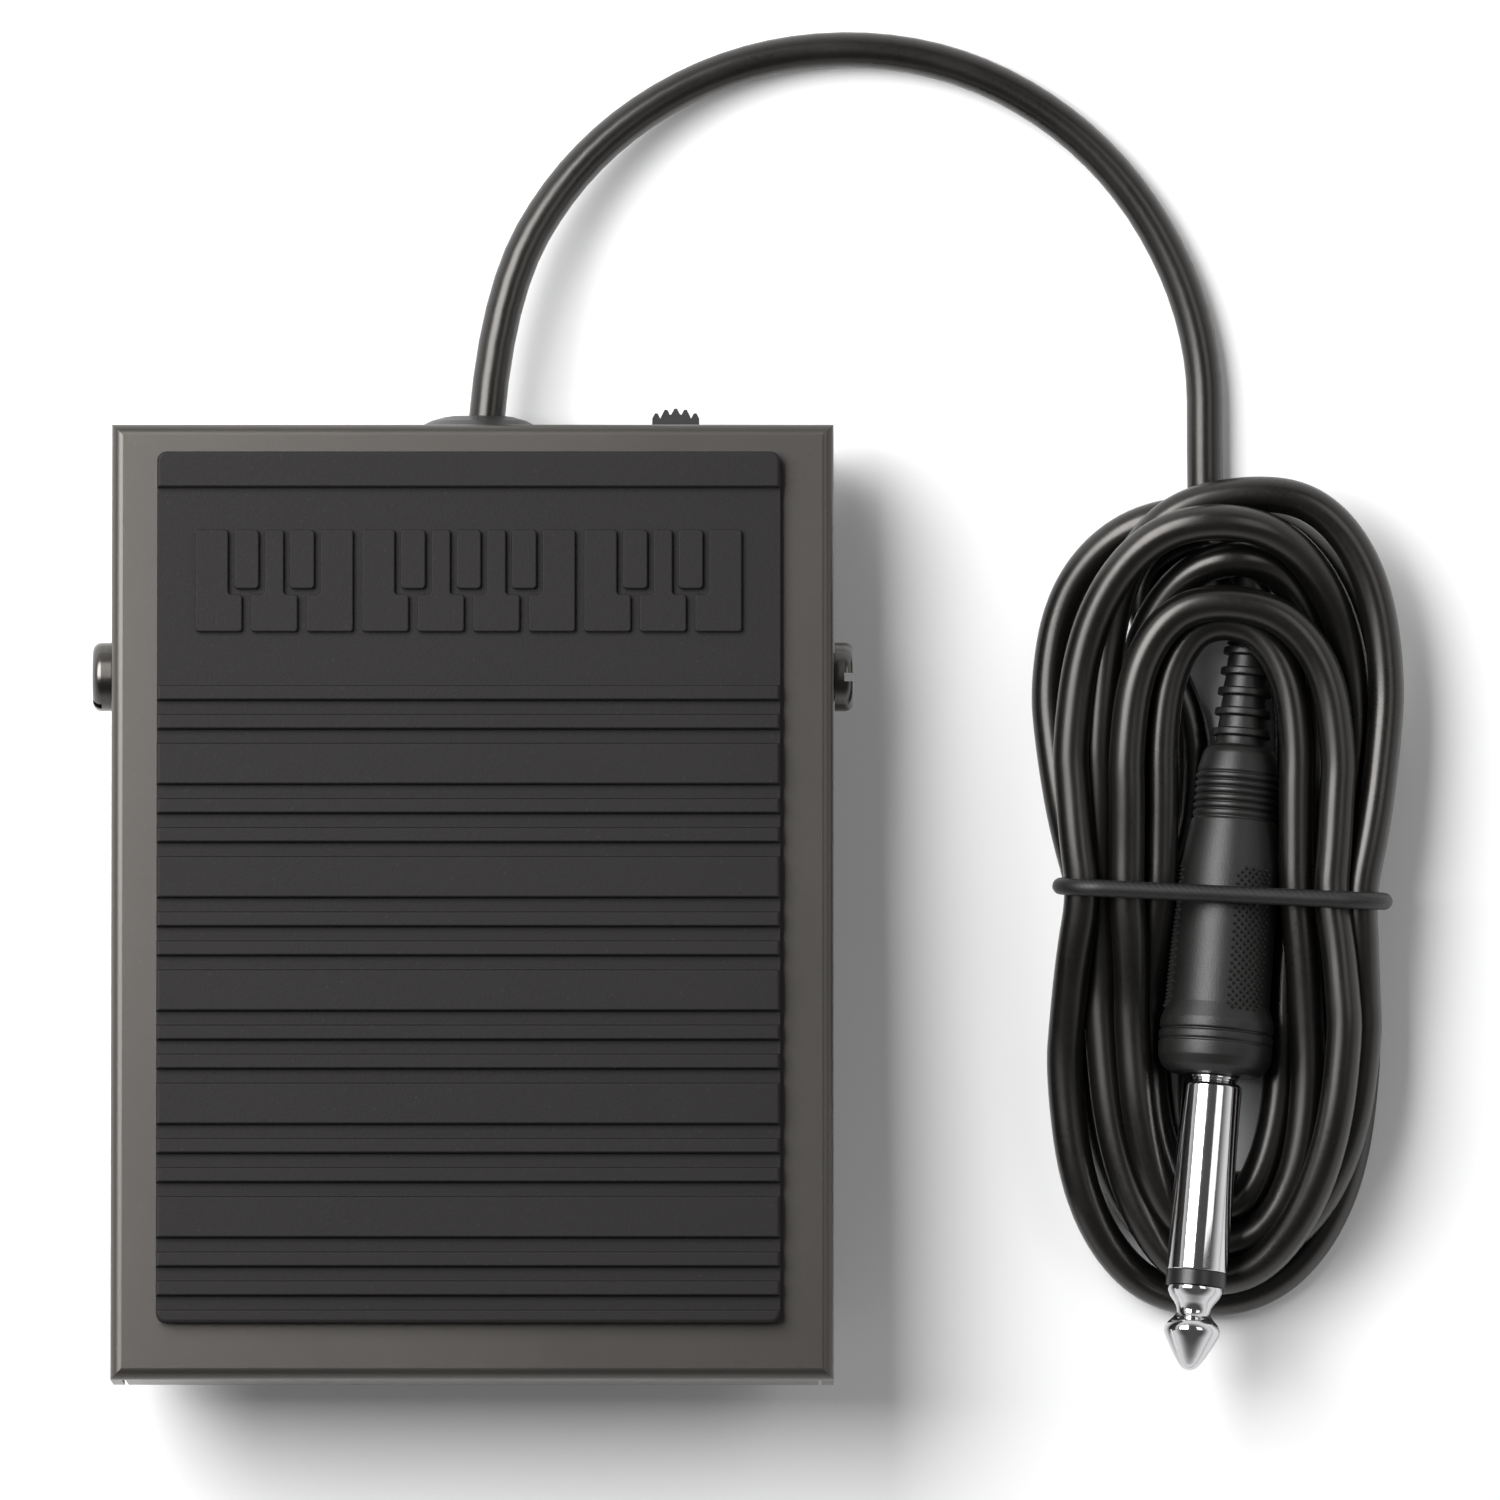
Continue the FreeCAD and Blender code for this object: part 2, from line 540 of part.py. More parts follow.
def add_switch_case(x_low, x_high, front, rear, screw_places):
    """Body with a cavity, its lid, two screws through both, and three solder tags underneath."""
    wall = 1.2
    bore_r = 1.05
    seam_x = x_high - SWITCH_LID
    body = box(x_low, seam_x, front, rear, SWITCH_LOW, SWITCH_TOP)
    body = body.cut(box(x_low + wall, seam_x, front + wall, rear - wall,
                        SWITCH_LOW + wall, SWITCH_TOP - wall))
    lid = box(seam_x, x_high, front, rear, SWITCH_LOW, SWITCH_TOP)
    bore_foot = V(LEVER_SWITCH_X + BUTTON_SIDE, BUTTON_Y, SWITCH_TOP - 2)
    body = body.cut(cylinder(bore_foot, Z_AXIS, BUTTON_R + SHOULDER_FIT, 3))
    screws = []
    for y in screw_places:
        hole = cylinder(V(x_low - 1, y, SWITCH_SCREW_Z), X_AXIS, bore_r, 12)
        body = body.cut(hole)
        lid = lid.cut(hole)
        shank = cylinder(V(x_low, y, SWITCH_SCREW_Z), X_AXIS, bore_r - 0.07, x_high - x_low + SHEET)
        screws.append(cylinder(V(x_low - 1.2, y, SWITCH_SCREW_Z), X_AXIS, 1.9, 1.2).fuse(shank))
    tags = []
    for k in (-1, 0, 1):
        y = (front + rear) / 2 + SWITCH_TAG_PITCH * k
        body = body.cut(box(LEVER_SWITCH_X - 1.9, LEVER_SWITCH_X + 0.9, y - 0.3, y + 0.3,
                            SWITCH_LOW - 1, SWITCH_LOW + 2))
        tags.append(box(LEVER_SWITCH_X - 1.8, LEVER_SWITCH_X + 0.8, y - 0.25, y + 0.25,
                        FLOOR_Z + 0.4, SWITCH_LOW + 1.8))
    add("lever_switch_body", body)
    add("lever_switch_lid", lid)
    add("lever_switch_screws", Part.makeCompound(screws))
    add("lever_switch_tags", Part.makeCompound(tags))


def add_switch_bracket(x_low, x_high, front, rear, screw_places):
    """Angle bracket beside the switch, riveted to the floor."""
    foot_top = FLOOR_Z + SHEET
    rivet_r = 1.25
    bracket = box(x_high, x_high + SHEET, front + 1, rear - 1, FLOOR_Z, BRACKET_TOP)
    bracket = bracket.fuse(box(x_high, x_high + BRACKET_FOOT, front + 1, rear - 1, FLOOR_Z, foot_top))
    rivets = []
    for y in screw_places:
        bracket = bracket.cut(cylinder(V(x_low, y, SWITCH_SCREW_Z), X_AXIS, 1.05, 12))
        bracket = bracket.cut(cylinder(V(x_high + RIVET_X, y, FLOOR_Z), Z_AXIS, rivet_r + 0.05, SHEET))
        head = cylinder(V(x_high + RIVET_X, y, foot_top), Z_AXIS, 2.0, 0.8)
        rivets.append(head.fuse(cylinder(V(x_high + RIVET_X, y, FLOOR_Z), Z_AXIS, rivet_r, SHEET)))
    add("lever_switch_bracket", bracket)
    add("lever_switch_rivets", Part.makeCompound(rivets))


def add_switch_button():
    """The button reaches up to just under the lever at rest."""
    slope = math.radians(LEVER_ANGLE)
    arm = LEVER_HINGE_Y - BUTTON_Y - BUTTON_R
    top = LEVER_HINGE_Z + BLADE_OFFSET / math.cos(slope) + arm * math.tan(slope) - BUTTON_AIR
    foot = V(LEVER_SWITCH_X + BUTTON_SIDE, BUTTON_Y, SWITCH_TOP - 1.1)
    add("lever_switch_button", cylinder(foot, Z_AXIS, BUTTON_R, top - foot.z))


def add_switch_lever(x_low, x_high):
    """Two lugs and a pin on the switch, and the blade whose knuckle turns on the pin."""
    lug_thick = 0.6
    inset = 0.2
    lug_half = 0.9
    pin_start = V(x_low + inset, LEVER_HINGE_Y, LEVER_HINGE_Z)
    pin_length = x_high - x_low - 2 * inset
    lugs = []
    for x in (x_low + inset, x_high - inset - lug_thick):
        lug = box(x, x + lug_thick, LEVER_HINGE_Y - lug_half, LEVER_HINGE_Y + lug_half,
                  SWITCH_TOP, LEVER_HINGE_Z + KNUCKLE_R)
        lugs.append(lug.cut(cylinder(pin_start - X_AXIS, X_AXIS, PIN_R, pin_length + 2)))
    add("lever_hinge_lugs", Part.makeCompound(lugs))
    add("lever_hinge_pin", cylinder(pin_start, X_AXIS, PIN_R, pin_length))
    underside = LEVER_HINGE_Z + BLADE_OFFSET
    blade = box(LEVER_SWITCH_X - BLADE_HALF, LEVER_SWITCH_X + BLADE_HALF, LEVER_HINGE_Y - LEVER_LENGTH,
                LEVER_HINGE_Y, underside, underside + BLADE_THICK)
    knuckle_start = V(LEVER_SWITCH_X - BLADE_HALF, LEVER_HINGE_Y, LEVER_HINGE_Z)
    blade = blade.fuse(cylinder(knuckle_start, X_AXIS, KNUCKLE_R, 2 * BLADE_HALF))
    blade = blade.cut(cylinder(knuckle_start - X_AXIS, X_AXIS, PIN_R + SHOULDER_FIT, 2 * BLADE_HALF + 2))
    blade.rotate(V(0, LEVER_HINGE_Y, LEVER_HINGE_Z), X_AXIS, -LEVER_ANGLE)
    add("switch_lever", blade)


# ---- the cover and the tread --------------------------------------------------------------------
def top_cover():
    half = COVER_WIDTH / 2
    low = COVER_TOP_Z - SKIRT
    shell = box(-half, half, COVER_FRONT_Y, COVER_REAR_Y, low, COVER_TOP_Z)
    shell = shell.makeFillet(BEND, edges_where(shell, lambda edge: lies_at_z(edge, COVER_TOP_Z)))
    hollow = box(-half + SHEET, half - SHEET, COVER_FRONT_Y + SHEET, COVER_REAR_Y - SHEET,
                 low - 1, COVER_TOP_Z - SHEET)
    shell = shell.cut(hollow)
    shell = shell.cut(box(-half + SHEET, half - SHEET, COVER_REAR_Y - 3, COVER_REAR_Y + 1,
                          low - 1, COVER_TOP_Z - REAR_LIP))
    for side in (-1, 1):
        seam_low, seam_high = sorted((side * (half - SHEET), side * (half - SHEET - SEAM)))
        for y_low, y_high in ((COVER_FRONT_Y - 1, COVER_FRONT_Y + SHEET + 0.01),
                              (COVER_REAR_Y - SHEET - 0.01, COVER_REAR_Y + 1)):
            shell = shell.cut(box(seam_low, seam_high, y_low, y_high, low - 1, COVER_TOP_Z - 2.2))
        hole = cylinder(V(side * (half + 1), PIVOT_Y, PIVOT_Z), X_AXIS * -side, SHOULDER_R + SHOULDER_FIT, 3)
        shell = shell.cut(hole)
    return tilted(shell)


def tread_pad():
    top = COVER_TOP_Z + PAD_THICK
    x0 = PAD_OFFSET_X - PAD_WIDTH / 2
    x1 = PAD_OFFSET_X + PAD_WIDTH / 2
    front = PAD_REAR_Y - PAD_LENGTH
    slab = rounded_slab(x0, x1, front, PAD_REAR_Y, COVER_TOP_Z, top, PAD_CORNER, 0.35)
    pad = slab.common(tread_profile(x0 - 1, PAD_WIDTH + 2))
    pad = pad.multiFuse(keyboard_emblem()).removeSplitter()
    return tilted(pad)


def tread_profile(x_start, width):
    """The tread's section, rear to front, with rounded lips on every groove, extruded across."""
    top = COVER_TOP_Z + PAD_THICK
    floor = top - GROOVE_DEPTH
    hollows = [(PANEL_START, FIRST_GROUP + GROOVE_WIDTH)]
    for group in range(GROUP_COUNT):
        for groove in range(3):
            start = FIRST_GROUP + group * GROUP_PITCH + groove * GROOVE_STEP
            if group or groove:
                hollows.append((start, start + GROOVE_WIDTH))
    rear = PAD_REAR_Y + 1
    front = PAD_REAR_Y - PAD_LENGTH - 1
    points = [V(x_start, rear, COVER_TOP_Z), V(x_start, rear, top)]
    for start, end in hollows:
        points.append(V(x_start, PAD_REAR_Y - start, top))
        points.append(V(x_start, PAD_REAR_Y - start, floor))
        points.append(V(x_start, PAD_REAR_Y - end, floor))
        points.append(V(x_start, PAD_REAR_Y - end, top))
    points.append(V(x_start, front, top))
    points.append(V(x_start, front, COVER_TOP_Z))
    outline = rounded_path(points, same_radius(0.18), closed=True)
    return Part.Face(outline).extrude(V(width, 0, 0))


def keyboard_emblem():
    """Raised row of plain piano keys on the emblem panel."""
    floor = COVER_TOP_Z + PAD_THICK - GROOVE_DEPTH
    top = floor + KEY_RAISE
    bury = 0.1
    pitch = KEY_WIDTH + KEY_GAP
    left = PAD_OFFSET_X - (KEY_COUNT * pitch - KEY_GAP) / 2
    rear = PAD_REAR_Y - KEY_REAR
    front = rear - KEY_LENGTH
    sharp_middles = [left + pitch * (k + 1) - KEY_GAP / 2 for k in SHARP_AFTER]
    notches = []
    keys = []
    for x in sharp_middles:
        reach = SHARP_WIDTH / 2 + SHARP_CLEARANCE
        notches.append(box(x - reach, x + reach, rear - SHARP_LENGTH - SHARP_CLEARANCE, rear + 1,
                           floor - 1, top + 1))
        keys.append(rounded_slab(x - SHARP_WIDTH / 2, x + SHARP_WIDTH / 2, rear - SHARP_LENGTH, rear,
                                 floor - bury, top, 0.45, 0.15))
    for k in range(KEY_COUNT):
        x = left + pitch * k
        key = box(x, x + KEY_WIDTH, front, rear, floor - bury, top).cut(notches)
        key = key.makeFillet(0.35, edges_where(key, is_vertical))
        key = key.makeFillet(0.15, edges_where(key, lambda edge: lies_at_z(edge, top)))
        keys.append(key)
    return keys


def add_cover_fittings():
    under = COVER_TOP_Z - SHEET
    level_spring_y = SPRING_Y - 0.3
    stud = cylinder(V(0, level_spring_y, under - 3.0), Z_AXIS, SPRING_COIL_R - SPRING_WIRE_R - 0.75, 3.0)
    add("spring_stud", tilted(stud))
    nub = rounded_slab(LEVER_SWITCH_X - 2.5, LEVER_SWITCH_X + 2.5, LEVER_PRESS_Y - 2.0, LEVER_PRESS_Y + 2.0,
                       under - NUB_THICK, under, 1.0)
    add("press_nub", tilted(nub))


# ---- wires inside the case ----------------------------------------------------------------------
def add_wires():
    """Two wires from the cord to the slide switch, two from there to the lever switch."""
    jacket_end = CORD_ROUTE[0]
    tag_y = BASE_REAR_Y - SHEET - SLIDE_PLATE - SLIDE_CAN_DEPTH - SLIDE_TAG_REACH - 0.35
    switch_middle = LEVER_HINGE_Y + 1.2 - SWITCH_LENGTH / 2
    high_tag_z = SLIDE_Z + SLIDE_TAG_PITCH_Z / 2
    low_tag_z = SLIDE_Z - SLIDE_TAG_PITCH_Z / 2
    side_tag_x = SLIDE_X - SLIDE_TAG_PITCH_X
    wires = {
        "wire_red": [jacket_end + V(0.8, -0.45, 0.6), V(4.5, 36.0, 10.0), V(10.5, 31.0, 10.6),
                     V(16.5, 30.2, 10.7), V(side_tag_x, tag_y, high_tag_z)],
        "wire_white": [jacket_end + V(-0.8, -0.45, -0.6), V(1.5, 34.0, 6.5), V(9.0, 27.5, 5.2),
                       V(17.5, 28.0, 5.6), V(side_tag_x, tag_y, low_tag_z)],
        "wire_blue": [V(SLIDE_X, tag_y, high_tag_z), V(SLIDE_X + 0.3, 28.5, 9.6), V(17.2, 23.4, 8.0),
                      V(13.2, 22.0, 5.8), V(12.5, switch_middle + 7.0, 4.4)],
        "wire_black": [V(SLIDE_X, tag_y, low_tag_z), V(SLIDE_X - 0.6, 30.0, 6.0), V(14.0, 24.6, 4.3),
                       V(6.6, 17.0, 4.2), V(6.8, 10.0, 4.2), V(11.0, switch_middle + 0.4, 4.4)],
    }
    for name, points in wires.items():
        solid, _ = tube(points, WIRE_R)
        add(name, solid)


# ---- the cord, the hank and the plug ------------------------------------------------------------
def plug_axis():
    axis = V(PLUG_DIRECTION)
    axis.normalize()
    return axis


def plug_place(distance):
    """A point on the plug's axis, this far from the grip's face towards the tip."""
    return PLUG_TIP - plug_axis() * (PLUG_EXPOSED - distance)


def add_plug():
    face = plug_place(0)
    axis = plug_axis()
    add("plug_sleeve", turned([(0, PLUG_R), (SLEEVE_END, PLUG_R)], face, axis))
    add("plug_insulator", turned([(SLEEVE_END, PLUG_R), (INSULATOR_END, PLUG_R)], face, axis))
    add("plug_tip", turned(TIP_PROFILE, face, axis))
    add("plug_boot", turned(BOOT_PROFILE, face, axis))


def plug_room():
    """The space that the plug and its grip take in the hank, with a little air around them."""
    axis = plug_axis()
    return [cylinder(plug_place(start), axis, radius, end - start) for start, end, radius in PLUG_ROOM]


def beside_band(solid):
    """Moves a shape drawn at the origin to the tie's place."""
    solid.rotate(V(0, 0, 0), Z_AXIS, BAND_TURN)
    solid.translate(BAND_MIDDLE)
    return solid


def band_loop(inset, width):
    """The tie's loop in its own upright plane, made smaller by inset and this wide along Y."""
    half = BAND_HALF - inset
    low = inset
    high = BAND_TOP - inset
    corners = [V(-half, 0, low), V(half, 0, low), V(half, 0, high), V(-half, 0, high)]
    loop = Part.Face(rounded_path(corners, same_radius(BAND_BEND - inset), closed=True))
    solid = loop.extrude(V(0, width, 0))
    solid.translate(V(0, -width / 2, 0))
    return beside_band(solid)


def add_tie():
    add("cord_tie", band_loop(0.0, BAND_D).cut(band_loop(BAND_D, BAND_D + 1)))


def cord_hank():
    """Outer shape of the wound cord: a flat ring of turns, open in the middle where the plug lies."""
    outline = rounded_path(HANK_CORNERS, cord_radius, closed=True)
    solid = Part.Face(outline).extrude(V(0, 0, HANK_TOP - HANK_BOTTOM))
    solid.translate(V(0, 0, HANK_BOTTOM))
    opening = rounded_path(HANK_OPENING, same_radius(HANK_OPENING_BEND), closed=True)
    solid = solid.cut(Part.Face(opening).extrude(V(0, 0, HANK_TOP + 5)))
    solid = solid.cut(hank_front_space())
    solid = solid.cut(plug_room())
    return solid.cut(band_groove())


def hank_front_space():
    """Everything above the lower front part of the hank."""
    x0 = 50
    above = HANK_TOP + 8
    slope_rear, slope_front = HANK_SLOPE_Y
    outline = Part.makePolygon([
        V(x0, slope_rear, HANK_TOP), V(x0, slope_front, HANK_FRONT_TOP), V(x0, -60, HANK_FRONT_TOP),
        V(x0, -60, above), V(x0, slope_rear, above), V(x0, slope_rear, HANK_TOP)])
    return Part.Face(outline).extrude(V(60, 0, 0))


def band_groove():
    width = BAND_D + 0.5
    outer = beside_band(box(-25, 25, -width / 2, width / 2, -2, 22))
    return outer.cut(band_loop(BAND_D + 0.1, width + 2))


def add_cord():
    lead, path = tube(CORD_ROUTE, CORD_D / 2)
    add("cord_lead", lead)
    add("cord_hank", cord_hank())
    section = math.pi * (CORD_D / 2) ** 2
    print("lead length %.1f" % path.Length)
    print("volume over section x length %.4f" % (lead.Volume / section / path.Length))
    radii = [edge.Curve.Radius for edge in path.Edges if hasattr(edge.Curve, "Radius")]
    print("lead radii", ["%.1f" % radius for radius in radii])


# ---- the whole assembly -------------------------------------------------------------------------
add("base_chassis", base_chassis())
add("base_rubber_mat", base_rubber_mat())
add_pivots()
add_stops()
add_return_spring()
add("cable_gland", cable_gland())
add_cable_clamp()
add_slide_switch()
add_lever_switch()
add("top_cover", top_cover())
add("tread_pad", tread_pad())
add_cover_fittings()
add_wires()
add_plug()
add_tie()
add_cord()

os.makedirs("parts", exist_ok=True)
for node, shape in NODES.items():
    if not shape.isValid() or not shape.Solids:
        print("PROBLEM", node, shape.isValid(), len(shape.Solids))
    shape.exportStep("parts/" + node + ".step")
print(len(NODES), "nodes")
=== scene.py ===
"""Looks of the sustain pedal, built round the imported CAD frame. Metres, +Z up, the frame's own axes."""
import math

import bmesh
import bpy
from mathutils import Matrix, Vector


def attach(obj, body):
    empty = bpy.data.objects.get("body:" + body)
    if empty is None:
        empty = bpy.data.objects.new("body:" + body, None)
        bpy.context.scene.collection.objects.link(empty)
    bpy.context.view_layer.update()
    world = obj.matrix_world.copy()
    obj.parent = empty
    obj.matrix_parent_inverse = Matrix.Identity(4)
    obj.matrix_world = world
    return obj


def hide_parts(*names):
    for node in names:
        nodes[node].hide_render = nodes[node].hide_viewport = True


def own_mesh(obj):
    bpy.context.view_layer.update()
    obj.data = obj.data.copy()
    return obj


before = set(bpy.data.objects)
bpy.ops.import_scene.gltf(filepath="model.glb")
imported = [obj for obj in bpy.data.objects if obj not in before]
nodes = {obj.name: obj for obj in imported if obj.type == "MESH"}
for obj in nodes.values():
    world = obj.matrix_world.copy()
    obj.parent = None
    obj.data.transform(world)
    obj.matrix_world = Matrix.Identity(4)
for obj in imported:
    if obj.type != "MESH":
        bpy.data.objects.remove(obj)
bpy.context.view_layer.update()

MM = 0.001

# ---- camera --------------------------------------------------------------------------------------
CAMERA_HEIGHT = 2.4
VIEW_WIDTH = 0.1575
VIEW_MIDDLE = (0.0290, 0.01575)
VIEW_PLANE = 0.010
SENSOR_WIDTH = 36.0


def add_camera():
    data = bpy.data.cameras.new("camera")
    data.sensor_width = SENSOR_WIDTH
    data.lens = SENSOR_WIDTH * (CAMERA_HEIGHT - VIEW_PLANE) / VIEW_WIDTH
    data.clip_end = 10.0
    camera = bpy.data.objects.new("camera", data)
    camera.location = (VIEW_MIDDLE[0], VIEW_MIDDLE[1], CAMERA_HEIGHT)
    bpy.context.scene.collection.objects.link(camera)
    bpy.context.scene.camera = camera


add_camera()

# ---- the cord ------------------------------------------------------------------------------------
CORD_D = 3.8

# From inside the case, out through the gland and round to the hank.
LEAD = [(0.9, 41.1, 8.9), (1.2, 61.3, 8.8), (11.2, 79.1, 5.4), (28.6, 89.4, 2.6), (49.3, 89.6, 1.97),
        (66.8, 79.2, 2.02), (76.9, 61.5, 1.97), (76.9, 42.6, 1.99)]
# Under all the turns and down the right side to the first crossing of the tie.
LEAD_IN = [(77.2, 37.6, 1.95), (80.6, 33.0, 1.95), (84.7, 28.6, 1.95), (86.1, 21.5, 1.95), (86.1, 10.0, 2.7)]

TIE_Y = 0.65
# Where each limb crosses the tie: x and z. Turn g is wound first and turn a last.
TURNS = "abcdefg"
LEFT = {"a": (72.6, 3.7), "b": (67.7, 3.7), "c": (64.1, 10.2), "d": (64.3, 3.7), "e": (65.8, 7.4),
        "f": (68.5, 10.6), "g": (72.0, 8.3)}
RIGHT = {"a": (89.5, 3.7), "b": (91.3, 6.5), "c": (93.0, 3.7), "d": (92.9, 9.6), "e": (89.9, 11.0),
         "f": (86.4, 8.9), "g": (86.0, 3.8)}

# Half turns. side: (x where the limb stands widest, y there, z there, squareness of the shoulder).
# crest: (x, y, z). Each is given left side first in front and right side first at the rear.
FRONT = {
    "a": ((73.8, -20.0, 1.95, 2.2), (80.3, -30.6, 1.95), (88.3, -17.0, 1.95, 2.1)),
    "b": ((68.4, -14.0, 1.95, 2.0), (79.5, -34.5, 1.95), (91.2, -14.0, 5.2, 2.05)),
    "c": ((62.2, -18.0, 5.5, 2.2), (77.2, -42.3, 1.95), (93.4, -17.0, 1.95, 2.15)),
    "d": ((64.8, -14.0, 1.95, 2.1), (78.5, -38.2, 1.95), (93.4, -14.0, 8.4, 2.05)),
    "e": ((66.1, -12.0, 5.9, 2.05), (78.2, -40.0, 5.8), (91.3, -14.0, 11.3, 1.95)),
    "f": ((69.2, -13.0, 8.5, 2.1), (78.5, -36.2, 5.5), (87.6, -19.0, 7.8, 2.2)),
    "g": ((70.9, -15.0, 4.8, 2.3), (79.0, -32.4, 5.4), (85.1, -14.0, 5.0, 2.0)),
}
REAR = {
    "a": ((90.0, 18.0, 2.4, 2.1), (80.3, 36.0, 9.7), (68.9, 18.0, 5.7, 2.05)),
    "b": ((92.7, 18.0, 6.0, 2.2), (78.0, 39.9, 13.4), (62.8, 16.0, 9.9, 2.15)),
    "c": ((94.2, 20.0, 1.95, 2.35), (76.6, 40.7, 5.75), (60.6, 22.5, 1.95, 2.2)),
    "d": ((95.8, 23.0, 8.3, 2.15), (83.0, 42.8, 9.4), (65.8, 17.0, 8.5, 2.6)),
    "e": ((90.7, 15.0, 10.8, 2.3), (78.4, 31.3, 11.7), (68.6, 15.0, 11.2, 2.3)),
    "f": ((86.4, 16.0, 9.0, 2.2), (78.7, 29.2, 8.5), (72.2, 16.0, 8.7, 2.2)),
}
# The last limb swings out and over, into the tail of the plug's grip.
LAST_TURN = [(75.0, 6.0, 2.5), (75.8, 13.0, 1.95), (75.4, 19.0, 1.95), (72.8, 24.8, 1.95), (70.4, 30.0, 1.95),
             (71.3, 35.0, 2.6), (75.4, 37.5, 4.9), (79.6, 36.9, 5.9), (82.0, 33.6, 5.8), (82.0, 30.0, 5.2),
             (81.55, 26.9, 4.78), (81.3, 24.0, 5.07)]


# The shoulders' points stand this much outside the line, because the spline cuts the corners.
SPREAD = 1.015


def between(a, b, share):
    return a + (b - a) * share


def eased(share):
    return share * share * (3 - 2 * share)


def limb(at_tie, side):
    """Two points from the tie towards the place where the limb stands widest."""
    x0, z0 = at_tie
    x1, y1, z1, _ = side
    points = []
    for share in (0.34, 0.72):
        out = share * (2 - share)
        points.append((between(x0, x1, out), between(TIE_Y, y1, share), between(z0, z1, eased(share))))
    return points


def shoulder(side, crest):
    """Points on a quarter of a rounded oval, from the widest place to just before the crest."""
    x1, y1, z1, square = side
    xc, yc, zc = crest
    points = []
    for degrees in (0, 24, 46, 68):
        angle = math.radians(degrees)
        reach = math.cos(angle) ** (2 / square)
        rise = math.sin(angle) ** (2 / square)
        x = between(xc, x1, reach * SPREAD)
        y = between(y1, yc, rise * SPREAD)
        points.append((x, y, between(z1, zc, rise ** 3)))
    return points


def half_turn(start, end, half):
    """From one crossing of the tie round a crest to the other crossing."""
    side_in, crest, side_out = half
    points = [(start[0], TIE_Y, start[1])]
    points += limb(start, side_in) + shoulder(side_in, crest)
    points.append((crest[0], crest[1] + math.copysign(0.1, crest[1]), crest[2]))
    points += list(reversed(shoulder(side_out, crest))) + list(reversed(limb(end, side_out)))
    return points


def cord_route():
    """All the cord's control points in order, in millimetres: lead, seven turns, and the grip's tail."""
    turns = []
    for name, following in zip(TURNS, TURNS[1:]):
        turns += half_turn(LEFT[name], RIGHT[name], FRONT[name])
        turns += half_turn(RIGHT[name], LEFT[following], REAR[name])
    turns += half_turn(LEFT["g"], RIGHT["g"], FRONT["g"])
    turns.append((RIGHT["g"][0], TIE_Y, RIGHT["g"][1]))
    return LEAD + LEAD_IN + turns[::-1] + LAST_TURN


def add_cord(points):
    data = bpy.data.curves.new("cord", "CURVE")
    data.dimensions = "3D"
    spline = data.splines.new("NURBS")
    spline.points.add(len(points) - 1)
    for point, (x, y, z) in zip(spline.points, points):
        point.co = (x * MM, y * MM, z * MM, 1.0)
    spline.order_u = 3
    spline.use_endpoint_u = True
    data.resolution_u = 8
    data.bevel_depth = CORD_D / 2 * MM
    data.bevel_resolution = 7
    data.use_fill_caps = True
    cord = bpy.data.objects.new("cord", data)
    bpy.context.scene.collection.objects.link(cord)
    return cord


cord = add_cord(cord_route())

# ---- the plug and its grip -------------------------------------------------------------------------
PLUG_TIP = Vector((75.0, -49.35, 12.4))
PLUG_EXPOSED = 31.2
PLUG_AXIS = Vector((-0.085, -1.0, 0.10)).normalized()
GRIP_FACE = PLUG_TIP - PLUG_AXIS * PLUG_EXPOSED
# Two directions square to the plug: to its right and up, as it lies.
PLUG_RIGHT = Vector((-PLUG_AXIS.y, PLUG_AXIS.x, 0)).normalized()
PLUG_UP = PLUG_AXIS.cross(PLUG_RIGHT)


def on_plug(distance, radius, angle):
    """A point round the plug's axis. The angle is from the top, towards +X."""
    around = PLUG_UP * math.cos(angle) + PLUG_RIGHT * math.sin(angle)
    return (GRIP_FACE + PLUG_AXIS * distance + around * radius) * MM


def add_mesh(name, vertices, faces, smooth=True):
    mesh = bpy.data.meshes.new(name)
    mesh.from_pydata([tuple(v) for v in vertices], [], faces)
    mesh.update()
    for polygon in mesh.polygons:
        polygon.use_smooth = smooth
    made = bpy.data.objects.new(name, mesh)
    bpy.context.scene.collection.objects.link(made)
    return made


def turned(name, profile, sides=96):
    """A closed body of revolution round the plug's axis from (distance, radius) pairs."""
    vertices = []
    faces = []
    for distance, radius in profile:
        for k in range(sides):
            vertices.append(on_plug(distance, radius, 2 * math.pi * k / sides))
    for i in range(len(profile) - 1):
        for k in range(sides):
            a = i * sides + k
            b = i * sides + (k + 1) % sides
            faces.append((a, b, b + sides, a + sides))
    last = (len(profile) - 1) * sides
    faces.append(tuple(range(sides))[::-1])
    faces.append(tuple(last + k for k in range(sides)))
    made = add_mesh(name, vertices, faces)
    fix_normals(made)
    return made


def fix_normals(made):
    shape = bmesh.new()
    shape.from_mesh(made.data)
    bmesh.ops.recalc_face_normals(shape, faces=shape.faces)
    shape.to_mesh(made.data)
    shape.free()


def rounded(profile, cut=0.18, steps=3):
    """Replaces each inner corner of a profile by a short bend."""
    result = [profile[0]]
    for before, here, after in zip(profile, profile[1:], profile[2:]):
        back = Vector((before[0] - here[0], before[1] - here[1]))
        ahead = Vector((after[0] - here[0], after[1] - here[1]))
        reach_back = min(cut, back.length * 0.45)
        reach_ahead = min(cut, ahead.length * 0.45)
        corner = Vector(here)
        start = corner + back.normalized() * reach_back
        end = corner + ahead.normalized() * reach_ahead
        for k in range(steps + 1):
            share = k / steps
            point = start * (1 - share) ** 2 + corner * 2 * share * (1 - share) + end * share ** 2
            result.append((point.x, point.y))
    result.append(profile[-1])
    return result


